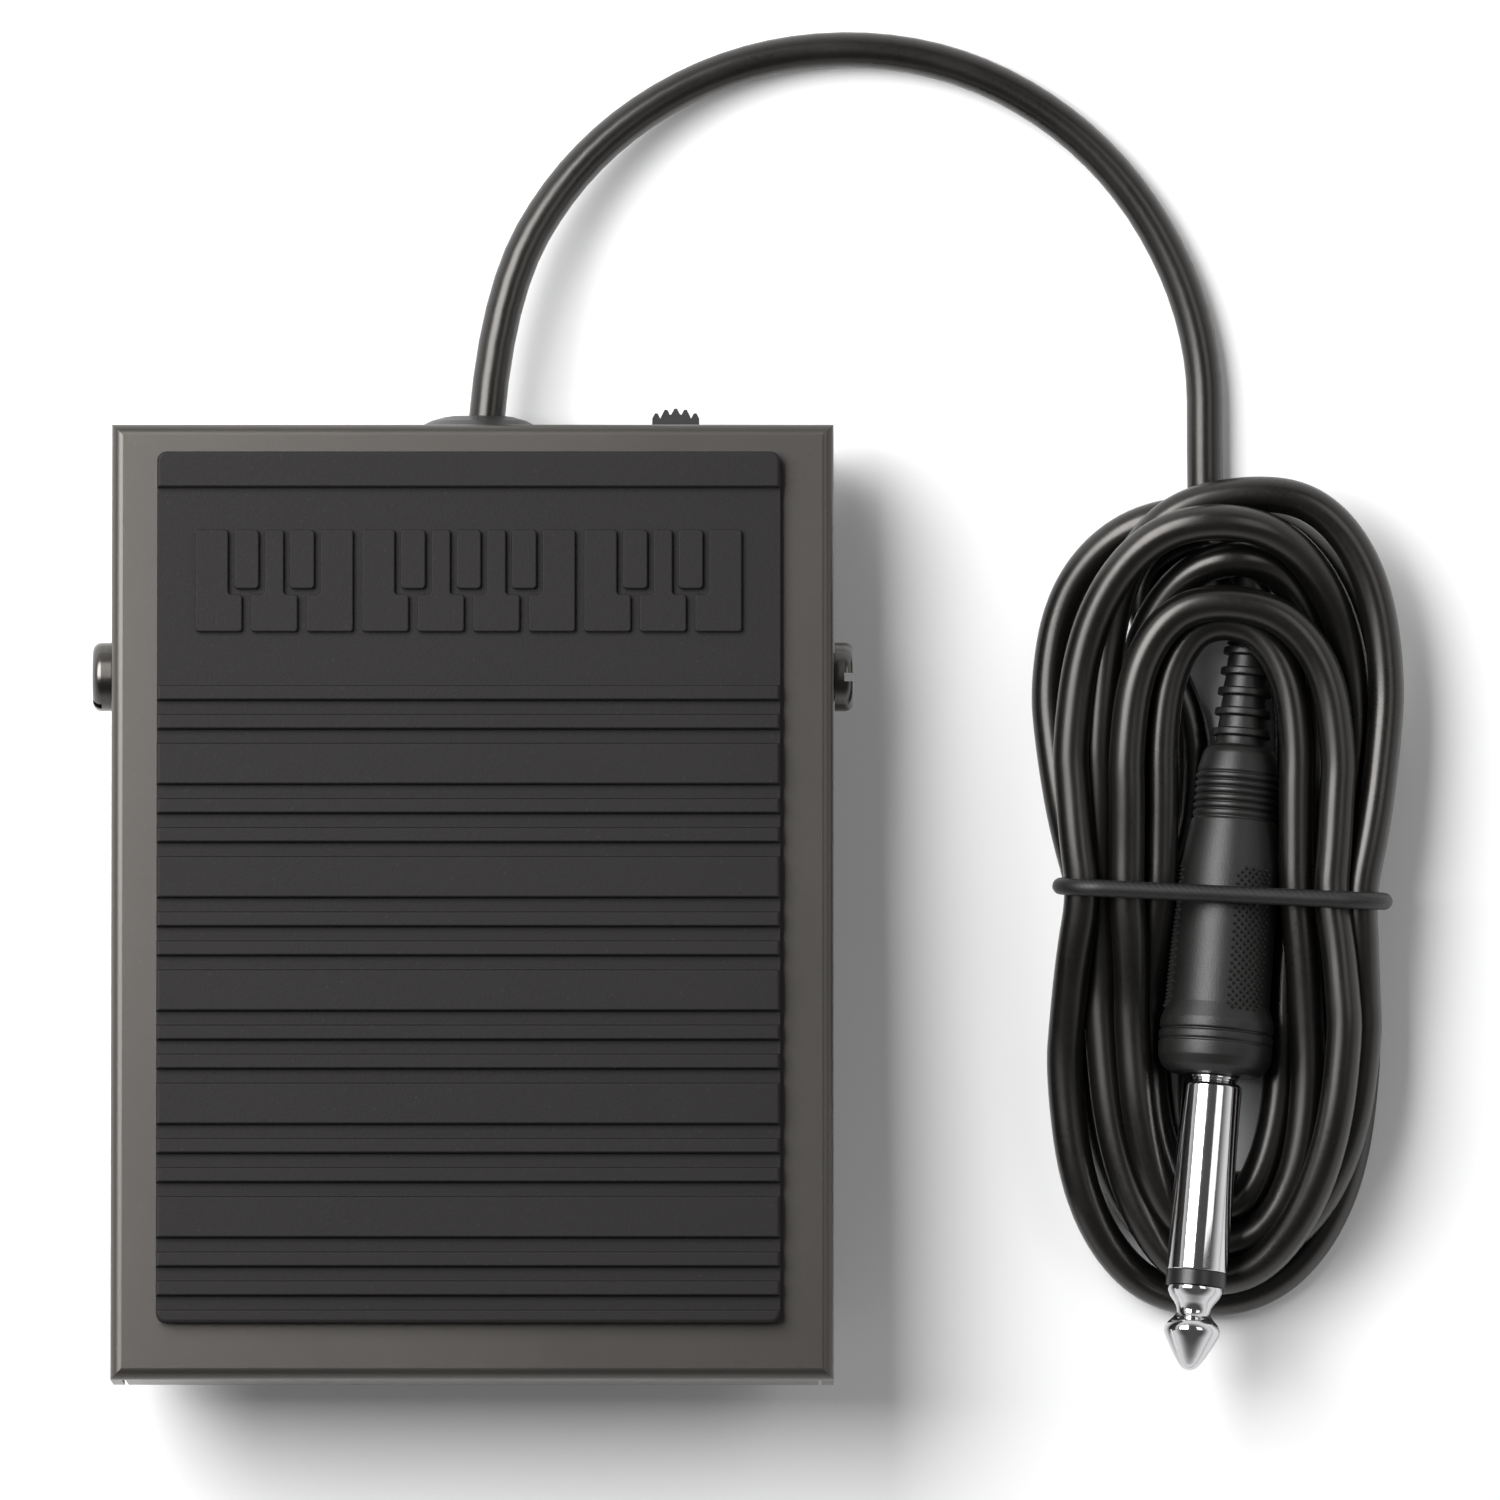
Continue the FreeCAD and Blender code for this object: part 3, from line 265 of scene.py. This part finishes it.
def grip_profile():
    """Segmented tail, six thin rings, long body, and a collar with two grooves."""
    profile = [(-46.0, 2.05), (-45.6, 2.35)]
    for k in range(5):
        start = -45.4 + 2.16 * k
        radius = 2.55 + 0.13 * k
        profile += [(start, radius - 0.55), (start + 0.15, radius - 0.55), (start + 0.2, radius),
                    (start + 0.95, radius + 0.05), (start + 1.0, radius - 0.55)]
    profile += [(-34.75, 2.75), (-34.6, 3.45), (-33.9, 3.85), (-32.0, 4.3)]
    for k in range(6):
        start = -31.8 + 0.78 * k
        profile += [(start, 4.18), (start + 0.12, 4.18), (start + 0.2, 4.42), (start + 0.62, 4.42)]
    profile += [(-27.0, 4.25), (-26.8, 4.5), (-22.0, 5.15), (-7.4, 5.35), (-5.6, 5.98), (-4.62, 6.02),
                (-4.55, 5.82), (-4.35, 5.82), (-4.28, 6.03), (-3.5, 6.04), (-3.43, 5.88), (-3.23, 5.88),
                (-3.16, 6.03), (-1.7, 5.95), (-0.7, 5.5), (-0.1, 4.7), (0.0, 4.3), (0.0, 2.0)]
    return rounded(profile, 0.16)


def add_grip():
    return turned("plug_grip", grip_profile(), 128)


KNURL_SPREAD = 46.0
KNURL_FROM = -21.8
KNURL_TO = -6.6
KNURL_PITCH = 0.84
KNURL_ACROSS = 5
KNURL_HEIGHT = 0.42
KNURL_SINK = 0.08                 # how far the foot of each point stands in the grip
KNURL_FOOT = 0.33                 # half the foot, as a share of the spacing
KNURL_TOP = 0.10                  # half the flat top along the grip, as a share of the spacing


def body_radius(distance):
    """Outer radius of the grip's long body."""
    if distance < -22.0:
        return between(4.5, 5.15, (distance + 26.8) / 4.8)
    if distance < -7.4:
        return between(5.15, 5.35, (distance + 22.0) / 14.6)
    return between(5.35, 5.98, min(1.0, (distance + 7.4) / 1.8))


def add_knurl():
    """Three strips of small pyramids along the grip, in staggered rows."""
    vertices = []
    faces = []
    rows = int((KNURL_TO - KNURL_FROM) / (KNURL_PITCH / 2))
    width = math.radians(KNURL_SPREAD)
    for middle in (30.0, -90.0, 150.0):
        for row in range(rows):
            s = KNURL_FROM + (row + 0.5) * KNURL_PITCH / 2
            round_end = min(1.0, (s - KNURL_FROM + 0.5) / 1.6, (KNURL_TO - s + 0.5) / 1.6)
            shift = 0.5 if row % 2 else 0.0
            for column in range(KNURL_ACROSS):
                share = (column + 0.25 + shift) / KNURL_ACROSS - 0.5
                if abs(share) > 0.5 * math.sqrt(max(0.0, 1 - (1 - round_end) ** 2)):
                    continue
                angle = math.radians(middle) + share * width
                step = width / KNURL_ACROSS * KNURL_FOOT
                base = body_radius(s) - KNURL_SINK
                first = len(vertices)
                for ds, da in ((-1, 0), (0, 1), (1, 0), (0, -1)):
                    vertices.append(on_plug(s + ds * KNURL_PITCH * KNURL_FOOT, base, angle + da * step))
                for ds, da in ((-1, 0), (0, 1), (1, 0), (0, -1)):
                    along = s + ds * KNURL_PITCH * KNURL_TOP
                    vertices.append(on_plug(along, base + KNURL_HEIGHT, angle + da * step * 0.25))
                for k in range(4):
                    n = (k + 1) % 4
                    faces.append((first + k, first + n, first + 4 + n, first + 4 + k))
                faces.append((first + 4, first + 5, first + 6, first + 7))
                faces.append((first + 3, first + 2, first + 1, first))
    made = add_mesh("plug_grip_knurl", vertices, faces, smooth=False)
    fix_normals(made)
    return made


def add_plug_metal():
    """The shaft with its stepped root, and the tip with its waist and rounded point."""
    sleeve = rounded([(-0.4, 2.75), (0.45, 2.75), (0.5, 2.55), (0.75, 2.55), (0.95, 3.0), (1.25, 3.175),
                      (20.65, 3.175), (20.8, 3.05), (20.8, 1.5)], 0.1)
    tip = [(22.3, 1.5), (22.3, 2.85), (22.42, 2.95), (22.9, 2.9), (23.5, 2.6), (24.1, 2.1), (24.6, 1.82),
           (25.0, 1.75), (25.4, 1.85), (25.8, 2.2), (26.3, 2.7), (26.8, 2.94), (27.2, 2.95), (27.8, 2.72),
           (28.8, 2.2), (29.8, 1.62), (30.5, 1.15), (30.9, 0.82), (31.12, 0.45), (31.2, 0.1)]
    return turned("plug_shaft_metal", sleeve, 128), turned("plug_tip_metal", tip, 96)


grip = add_grip()
knurl = add_knurl()
shaft, tip = add_plug_metal()

# ---- the elastic tie -----------------------------------------------------------------------------
TIE_MIDDLE = (78.65, 0.65)
TIE_TURN = math.radians(-2.7)
TIE_R = 0.9
TIE_TOP = 13.85                   # height of the ring's middle line where it crosses over the hank


def add_tie():
    """A thin elastic ring, a little flattened where it runs along the floor."""
    half = 17.0
    low, high = TIE_R, TIE_TOP
    bend = 4.6
    points = []
    corners = ((half - bend, high - bend, 0), (-half + bend, high - bend, 90),
               (-half + bend, low + bend, 180), (half - bend, low + bend, 270))
    for x, z, start in corners:
        for k in range(7):
            angle = math.radians(start + 15 * k)
            points.append((x + bend * math.cos(angle), z + bend * math.sin(angle)))
    data = bpy.data.curves.new("tie", "CURVE")
    data.dimensions = "3D"
    spline = data.splines.new("NURBS")
    spline.points.add(len(points) - 1)
    for point, (along, z) in zip(spline.points, points):
        x = TIE_MIDDLE[0] + along * math.cos(TIE_TURN)
        y = TIE_MIDDLE[1] + along * math.sin(TIE_TURN)
        point.co = (x * MM, y * MM, z * MM, 1.0)
    spline.order_u = 3
    spline.use_cyclic_u = True
    data.resolution_u = 5
    data.bevel_depth = TIE_R * MM
    data.bevel_resolution = 6
    made = bpy.data.objects.new("tie", data)
    bpy.context.scene.collection.objects.link(made)
    return made


tie = add_tie()


# ---- shader values with ordinary arithmetic ----------------------------------------------------------
class Value:
    """One output of a material's nodes. Numbers and values combine with + - * and the methods below."""

    def __init__(self, paint, socket):
        self.paint = paint
        self.socket = socket

    def _math(self, operation, *others, clamp=False):
        node = self.paint.tree.nodes.new("ShaderNodeMath")
        node.operation = operation
        node.use_clamp = clamp
        for slot, item in zip(node.inputs, others):
            self.paint.feed(slot, item)
        return Value(self.paint, node.outputs[0])

    def __add__(self, other):
        return self._math("ADD", self, other)

    def __radd__(self, other):
        return self._math("ADD", other, self)

    def __sub__(self, other):
        return self._math("SUBTRACT", self, other)

    def __rsub__(self, other):
        return self._math("SUBTRACT", other, self)

    def __mul__(self, other):
        return self._math("MULTIPLY", self, other)

    def __rmul__(self, other):
        return self._math("MULTIPLY", other, self)

    def clamped(self):
        return self._math("ADD", self, 0.0, clamp=True)

    def sine(self):
        return self._math("SINE", self)

    def between(self, low, high, to_low=0.0, to_high=1.0):
        """Maps this value smoothly from one range to another."""
        return self.paint.node("MapRange", "Result", {"interpolation_type": "SMOOTHSTEP"},
                               Value=self, From_Min=low, From_Max=high, To_Min=to_low, To_Max=to_high)


class Paint:
    """One procedural material."""

    def __init__(self, name):
        self.material = bpy.data.materials.new(name)
        self.material.use_nodes = True
        self.tree = self.material.node_tree
        self.tree.nodes.clear()
        self.shader = self.tree.nodes.new("ShaderNodeBsdfPrincipled")
        output = self.tree.nodes.new("ShaderNodeOutputMaterial")
        self.tree.links.new(self.shader.outputs[0], output.inputs["Surface"])
        coordinates = self.tree.nodes.new("ShaderNodeTexCoord")
        self.place = self.vector("SCALE", Value(self, coordinates.outputs["Object"]), Scale=1 / MM)

    def feed(self, slot, item):
        if isinstance(item, Value):
            self.tree.links.new(item.socket, slot)
        else:
            slot.default_value = item

    def node(self, kind, output=0, settings=None, **values):
        """Any node: its settings first, then its inputs by name, with _ for a space."""
        made = self.tree.nodes.new("ShaderNode" + kind)
        for key, setting in (settings or {}).items():
            setattr(made, key, setting)
        for key, item in values.items():
            self.feed(made.inputs[key.replace("_", " ")], item)
        return Value(self, made.outputs[output])

    def vector(self, operation, first, second=None, **values):
        made = self.tree.nodes.new("ShaderNodeVectorMath")
        made.operation = operation
        self.feed(made.inputs[0], first)
        if second is not None:
            self.feed(made.inputs[1], second)
        for key, item in values.items():
            self.feed(made.inputs[key], item)
        return Value(self, made.outputs[0])

    def part(self, axis):
        """One coordinate of the place, in millimetres."""
        return self.node("SeparateXYZ", "XYZ".index(axis), Vector=self.place)

    def noise(self, size, detail=3.0, rough=0.5, stretch=None, seed=0.0):
        """Noise about 0.5 with features of this size in millimetres."""
        place = self.place
        if stretch:
            place = self.vector("MULTIPLY", place, stretch)
        if seed:
            place = self.vector("ADD", place, (seed * 7.3, seed * 3.1, seed * 5.7))
        return self.node("TexNoise", 0, {"noise_dimensions": "3D"}, Vector=place, Scale=1.0 / size,
                         Detail=detail, Roughness=rough)

    def specks(self, size, seed=0.0):
        """Distance to the nearest of many scattered points, for dust and grain."""
        place = self.place
        if seed:
            place = self.vector("ADD", place, (seed * 2.3, seed * 9.1, seed * 4.7))
        return self.node("TexVoronoi", 0, {"feature": "F1"}, Vector=place, Scale=1.0 / size)

    def colours(self, share, first, second):
        """A mix of two colours by share."""
        made = self.tree.nodes.new("ShaderNodeMix")
        made.data_type = "RGBA"
        made.clamp_factor = True
        self.feed(made.inputs[0], share)
        for slot, colour in ((6, first), (7, second)):
            self.feed(made.inputs[slot], colour if isinstance(colour, Value) else (*colour, 1.0))
        return Value(self, made.outputs[2])

    def bump(self, height, strength=0.3, distance=0.05):
        """Bump from a height; distance is in millimetres."""
        made = self.node("Bump", 0, None, Height=height, Strength=strength, Distance=distance * MM)
        self.feed(self.shader.inputs["Normal"], made)

    def set(self, **values):
        for key, item in values.items():
            if isinstance(item, tuple) and len(item) == 3:
                item = (*item, 1.0)
            self.feed(self.shader.inputs[key.replace("_", " ")], item)

    def on(self, *objects):
        for made in objects:
            made.data.materials.clear()
            made.data.materials.append(self.material)


def scaled(colour, factor):
    return tuple(part * factor for part in colour)


def plain_paint(name, colour, rough, metal=0.0, grain=0.25):
    """A moulded or painted finish: slow colour variation, fine grain, and a little wear in the gloss."""
    paint = Paint(name)
    slow = paint.noise(14.0, 3.0, 0.55, seed=1)
    fine = paint.noise(0.35, 4.0, 0.6, seed=2)
    dust = paint.specks(1.7, seed=3).between(0.05, 0.11, 1.0, 0.0)
    shade = (slow * 0.7 + fine * 0.3).between(0.3, 0.7)
    colour_now = paint.colours(shade, scaled(colour, 0.88), scaled(colour, 1.12))
    light_dust = (0.175, 0.168, 0.1575)
    paint.set(Base_Color=paint.colours(dust * 0.12, colour_now, light_dust),
              Roughness=(rough + (fine - 0.5) * 0.16 + (slow - 0.5) * 0.10).clamped(),
              Metallic=metal)
    paint.bump(fine + slow * 0.2, grain, 0.04)
    return paint


def metal_finish(name, colour, rough, brush=None, vary=0.08):
    """Bare or plated metal: fine scratches along a direction, and faint stains in the gloss."""
    paint = Paint(name)
    stain = paint.noise(6.0, 3.0, 0.6, seed=4)
    scratch = paint.noise(0.25, 3.0, 0.7, stretch=brush or (1.0, 1.0, 1.0), seed=5)
    shade = (stain * 0.6 + scratch * 0.4).between(0.3, 0.7)
    paint.set(Base_Color=paint.colours(shade, scaled(colour, 1 - vary), scaled(colour, 1 + vary * 0.5)),
              Roughness=(rough + (stain - 0.5) * 0.10 + (scratch - 0.5) * 0.10).clamped(),
              Metallic=1.0)
    paint.bump(scratch, 0.12, 0.01)
    return paint


# ---- materials -------------------------------------------------------------------------------------
def cover_paint():
    """Satin warm dark grey paint on bent steel, with slow tone variation, fine grain and light dust specks.
    """
    paint = Paint("case_paint")
    slow = paint.noise(22.0, 3.0, 0.55, seed=1)
    grain = paint.noise(0.22, 4.0, 0.65, seed=2)
    specks = paint.specks(2.4, seed=3).between(0.04, 0.09, 1.0, 0.0)
    shade = (slow * 0.6 + grain * 0.4).between(0.32, 0.68)
    body = paint.colours(shade, (0.0150, 0.0136, 0.0122), (0.0190, 0.0172, 0.0154))
    paint.set(Base_Color=paint.colours(specks * 0.12, body, (0.10, 0.095, 0.09)),
              Roughness=(0.36 + (grain - 0.5) * 0.12 + (slow - 0.5) * 0.05).clamped(),
              Specular_IOR_Level=0.78, Specular_Tint=(1.0, 0.95, 0.90))
    paint.bump(grain, 0.22, 0.03)
    return paint


def tread_rubber():
    """Matt moulded rubber with a fine pebbled skin and scattered light dust specks."""
    paint = Paint("tread_rubber")
    slow = paint.noise(18.0, 3.0, 0.5, seed=6)
    pebble = paint.noise(0.30, 3.0, 0.6, seed=7)
    fleck = paint.noise(0.9, 2.0, 0.5, seed=8)
    shade = (slow * 0.5 + pebble * 0.3 + fleck * 0.2).between(0.32, 0.68)
    body = paint.colours(shade, (0.0062, 0.0058, 0.0061), (0.0088, 0.0082, 0.0086))
    dust = paint.specks(1.5, seed=9).between(0.05, 0.12, 1.0, 0.0)
    paint.set(Base_Color=paint.colours(dust * 0.10, body, (0.07, 0.067, 0.065)),
              Roughness=(0.62 + (pebble - 0.5) * 0.18 + (slow - 0.5) * 0.08).clamped(),
              Specular_IOR_Level=0.26, Specular_Tint=(1.0, 0.96, 0.97))
    paint.bump(pebble + fleck * 0.4, 0.45, 0.05)
    return paint


def cord_pvc():
    """Satin black PVC with faint fine marks, light dust specks and finger grease."""
    paint = Paint("cord_pvc")
    slow = paint.noise(9.0, 3.0, 0.55, seed=10)
    fine = paint.noise(0.5, 3.0, 0.6, seed=11)
    dust = paint.specks(2.2, seed=12).between(0.03, 0.08, 1.0, 0.0)
    shade = (slow * 0.6 + fine * 0.4).between(0.3, 0.7)
    body = paint.colours(shade, (0.0024, 0.0022, 0.0020), (0.0042, 0.0039, 0.0036))
    paint.set(Base_Color=paint.colours(dust * 0.15, body, (0.05, 0.05, 0.05)),
              Roughness=(0.30 + (slow - 0.5) * 0.12 + (fine - 0.5) * 0.10).clamped(),
              Specular_IOR_Level=0.6, Specular_Tint=(1.0, 0.965, 0.93))
    paint.bump(fine + slow * 0.5, 0.12, 0.03)
    return paint


def grip_plastic():
    """Moulded black grip with a fine matt texture."""
    paint = Paint("plug_grip_plastic")
    slow = paint.noise(7.0, 3.0, 0.5, seed=13)
    fine = paint.noise(0.16, 3.0, 0.65, seed=14)
    shade = (slow * 0.5 + fine * 0.5).between(0.3, 0.7)
    paint.set(Base_Color=paint.colours(shade, (0.004, 0.0037, 0.0035), (0.008, 0.0075, 0.007)),
              Roughness=(0.42 + (fine - 0.5) * 0.22).clamped(),
              Specular_IOR_Level=0.5)
    paint.bump(fine, 0.5, 0.05)
    return paint


def tie_elastic():
    """Woven elastic: fine slanting threads round the ring."""
    paint = Paint("tie_elastic")
    x = paint.part("X")
    y = paint.part("Y")
    z = paint.part("Z")
    weave = ((x + y * 2.0 + z) * 9.0).sine() * 0.5 + 0.5
    fine = paint.noise(0.4, 3.0, 0.6, seed=15)
    shade = (weave * 0.5 + fine * 0.5).between(0.25, 0.75)
    paint.set(Base_Color=paint.colours(shade, (0.004, 0.004, 0.004), (0.009, 0.009, 0.009)),
              Roughness=(0.5 + (fine - 0.5) * 0.2).clamped())
    paint.bump(weave + fine * 0.5, 0.25, 0.04)
    return paint


def studio_floor():
    paint = Paint("studio_floor")
    slow = paint.noise(60.0, 2.0, 0.5, seed=16)
    paint.set(Base_Color=paint.colours(slow.between(0.3, 0.7), (0.84, 0.84, 0.845), (0.86, 0.86, 0.865)),
              Roughness=0.75)
    return paint


FINISHES = {
    "base_chassis": plain_paint("chassis_paint", (0.030, 0.029, 0.028), 0.48, metal=0.2),
    "base_rubber_mat": plain_paint("mat_rubber", (0.022, 0.022, 0.022), 0.8, grain=0.5),
    "spring_seat": plain_paint("nylon", (0.62, 0.60, 0.54), 0.45),
    "cable_clamp": plain_paint("nylon_clamp", (0.60, 0.58, 0.52), 0.45),
    "down_stop_left": plain_paint("stop_rubber_left", (0.020, 0.020, 0.020), 0.75, grain=0.4),
    "down_stop_right": plain_paint("stop_rubber_right", (0.020, 0.020, 0.020), 0.75, grain=0.4),
    "up_stop_strip": plain_paint("stop_felt", (0.030, 0.030, 0.031), 0.9, grain=0.6),
    "cable_gland": plain_paint("gland_pvc", (0.014, 0.0135, 0.013), 0.42, grain=0.12),
    "slide_switch_board": plain_paint("phenolic_board", (0.34, 0.19, 0.07), 0.5),
    "slide_knob": plain_paint("knob_plastic", (0.013, 0.013, 0.0135), 0.36, grain=0.15),
    "lever_switch_body": plain_paint("switch_plastic", (0.018, 0.018, 0.019), 0.4),
    "lever_switch_lid": plain_paint("switch_lid_plastic", (0.024, 0.024, 0.025), 0.4),
    "lever_switch_button": plain_paint("button_plastic", (0.45, 0.06, 0.04), 0.35),
    "press_nub": plain_paint("nub_nylon", (0.58, 0.56, 0.50), 0.45),
    "spring_stud": plain_paint("stud_nylon", (0.58, 0.56, 0.50), 0.45),
    "pivot_washer_left": plain_paint("washer_nylon_left", (0.55, 0.53, 0.48), 0.4),
    "pivot_washer_right": plain_paint("washer_nylon_right", (0.55, 0.53, 0.48), 0.4),
    "wire_red": plain_paint("wire_red_pvc", (0.45, 0.03, 0.02), 0.35, grain=0.05),
    "wire_white": plain_paint("wire_white_pvc", (0.70, 0.69, 0.66), 0.35, grain=0.05),
    "wire_blue": plain_paint("wire_blue_pvc", (0.03, 0.09, 0.35), 0.35, grain=0.05),
    "wire_black": plain_paint("wire_black_pvc", (0.015, 0.015, 0.015), 0.35, grain=0.05),
    "plug_insulator": plain_paint("plug_ring_plastic", (0.010, 0.010, 0.010), 0.32, grain=0.08),
    "pivot_screw_left": metal_finish("black_nickel_left", (0.10, 0.095, 0.09), 0.24),
    "pivot_screw_right": metal_finish("black_nickel_right", (0.10, 0.095, 0.09), 0.24),
    "lever_hinge_pin": metal_finish("pin_steel", (0.48, 0.48, 0.48), 0.25),
    "lever_hinge_lugs": metal_finish("lug_steel", (0.55, 0.55, 0.54), 0.35),
    "switch_lever": metal_finish("lever_steel", (0.62, 0.61, 0.58), 0.3, brush=(1.0, 0.1, 1.0)),
    "slide_switch_can": metal_finish("can_tinplate", (0.60, 0.60, 0.58), 0.34),
    "slide_wiper": metal_finish("wiper_brass", (0.70, 0.52, 0.24), 0.3),
}
ZINC = ("pivot_nut_left", "pivot_nut_right", "cable_clamp_screws", "slide_switch_screws",
        "lever_switch_screws", "lever_switch_bracket", "lever_switch_rivets")
TAGS = ("slide_switch_tags", "lever_switch_tags")


def add_spring():
    """The return spring as a copy of the imported coil, fixed to the base in its place."""
    coil = bpy.data.objects.new("return_spring_coil", nodes["return_spring"].data.copy())
    coil.data.materials.clear()
    bpy.context.scene.collection.objects.link(coil)
    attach(coil, "base")
    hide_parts("return_spring")
    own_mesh(coil)
    return coil


for name, paint in FINISHES.items():
    paint.on(nodes[name])
metal_finish("spring_steel", (0.42, 0.42, 0.43), 0.3).on(add_spring())
metal_finish("zinc_steel", (0.58, 0.58, 0.56), 0.36).on(*[nodes[name] for name in ZINC])
metal_finish("tinned_brass", (0.72, 0.66, 0.52), 0.32).on(*[nodes[name] for name in TAGS])
cover_paint().on(nodes["top_cover"])
tread_rubber().on(nodes["tread_pad"])
cord_pvc().on(cord)
grip_plastic().on(grip, knurl)
tie_elastic().on(tie)
metal_finish("plug_nickel", (0.62, 0.62, 0.63), 0.10, brush=(1.0, 0.15, 1.0), vary=0.05).on(shaft, tip)

# ---- what the pieces stand for -----------------------------------------------------------------------
for piece in (cord, grip, knurl, shaft, tip, tie):
    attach(piece, "base")
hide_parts("cord_lead", "cord_hank")
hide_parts("plug_boot")
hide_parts("plug_sleeve")
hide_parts("plug_tip")
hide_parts("cord_tie")

# ---- floor and light ---------------------------------------------------------------------------------
def add_floor():
    """A plain white floor that reaches past every view."""
    reach = 3.0
    corners = [(-reach, -reach, 0), (reach, -reach, 0), (reach, reach, 0), (-reach, reach, 0)]
    floor = add_mesh("floor", corners, [(0, 1, 2, 3)], smooth=False)
    studio_floor().on(floor)


def add_panel(name, low, high, height, brightness):
    """A level soft box between two corners, with this radiance."""
    width, depth = high[0] - low[0], high[1] - low[1]
    data = bpy.data.lights.new(name, "AREA")
    data.shape = "RECTANGLE"
    data.size = width
    data.size_y = depth
    data.energy = brightness * math.pi * width * depth
    light = bpy.data.objects.new(name, data)
    light.location = ((low[0] + high[0]) / 2, (low[1] + high[1]) / 2, height)
    bpy.context.scene.collection.objects.link(light)


def add_world(horizon, zenith):
    """A pale room: bright low down all round, and dim overhead apart from the soft boxes."""
    world = bpy.data.worlds.new("studio")
    world.use_nodes = True
    tree = world.node_tree
    background = tree.nodes["Background"]
    place = tree.nodes.new("ShaderNodeTexCoord")
    split = tree.nodes.new("ShaderNodeSeparateXYZ")
    rise = tree.nodes.new("ShaderNodeMapRange")
    rise.interpolation_type = "SMOOTHSTEP"
    tree.links.new(place.outputs["Generated"], split.inputs[0])
    tree.links.new(split.outputs["Z"], rise.inputs["Value"])
    for name, value in (("From Min", 0.15), ("From Max", 0.75), ("To Min", horizon), ("To Max", zenith)):
        rise.inputs[name].default_value = value
    tree.links.new(rise.outputs["Result"], background.inputs["Strength"])
    background.inputs["Color"].default_value = (1.0, 1.0, 1.0, 1.0)
    bpy.context.scene.world = world


add_floor()
add_panel("soft_box_left", (-0.72, 0.01), (-0.105, 0.70), 0.60, 10.6)
add_panel("soft_box_right", (0.30, 0.0), (0.65, 0.45), 0.60, 1.8)
add_world(1.0, 0.10)
bpy.context.scene.view_settings.view_transform = "Standard"
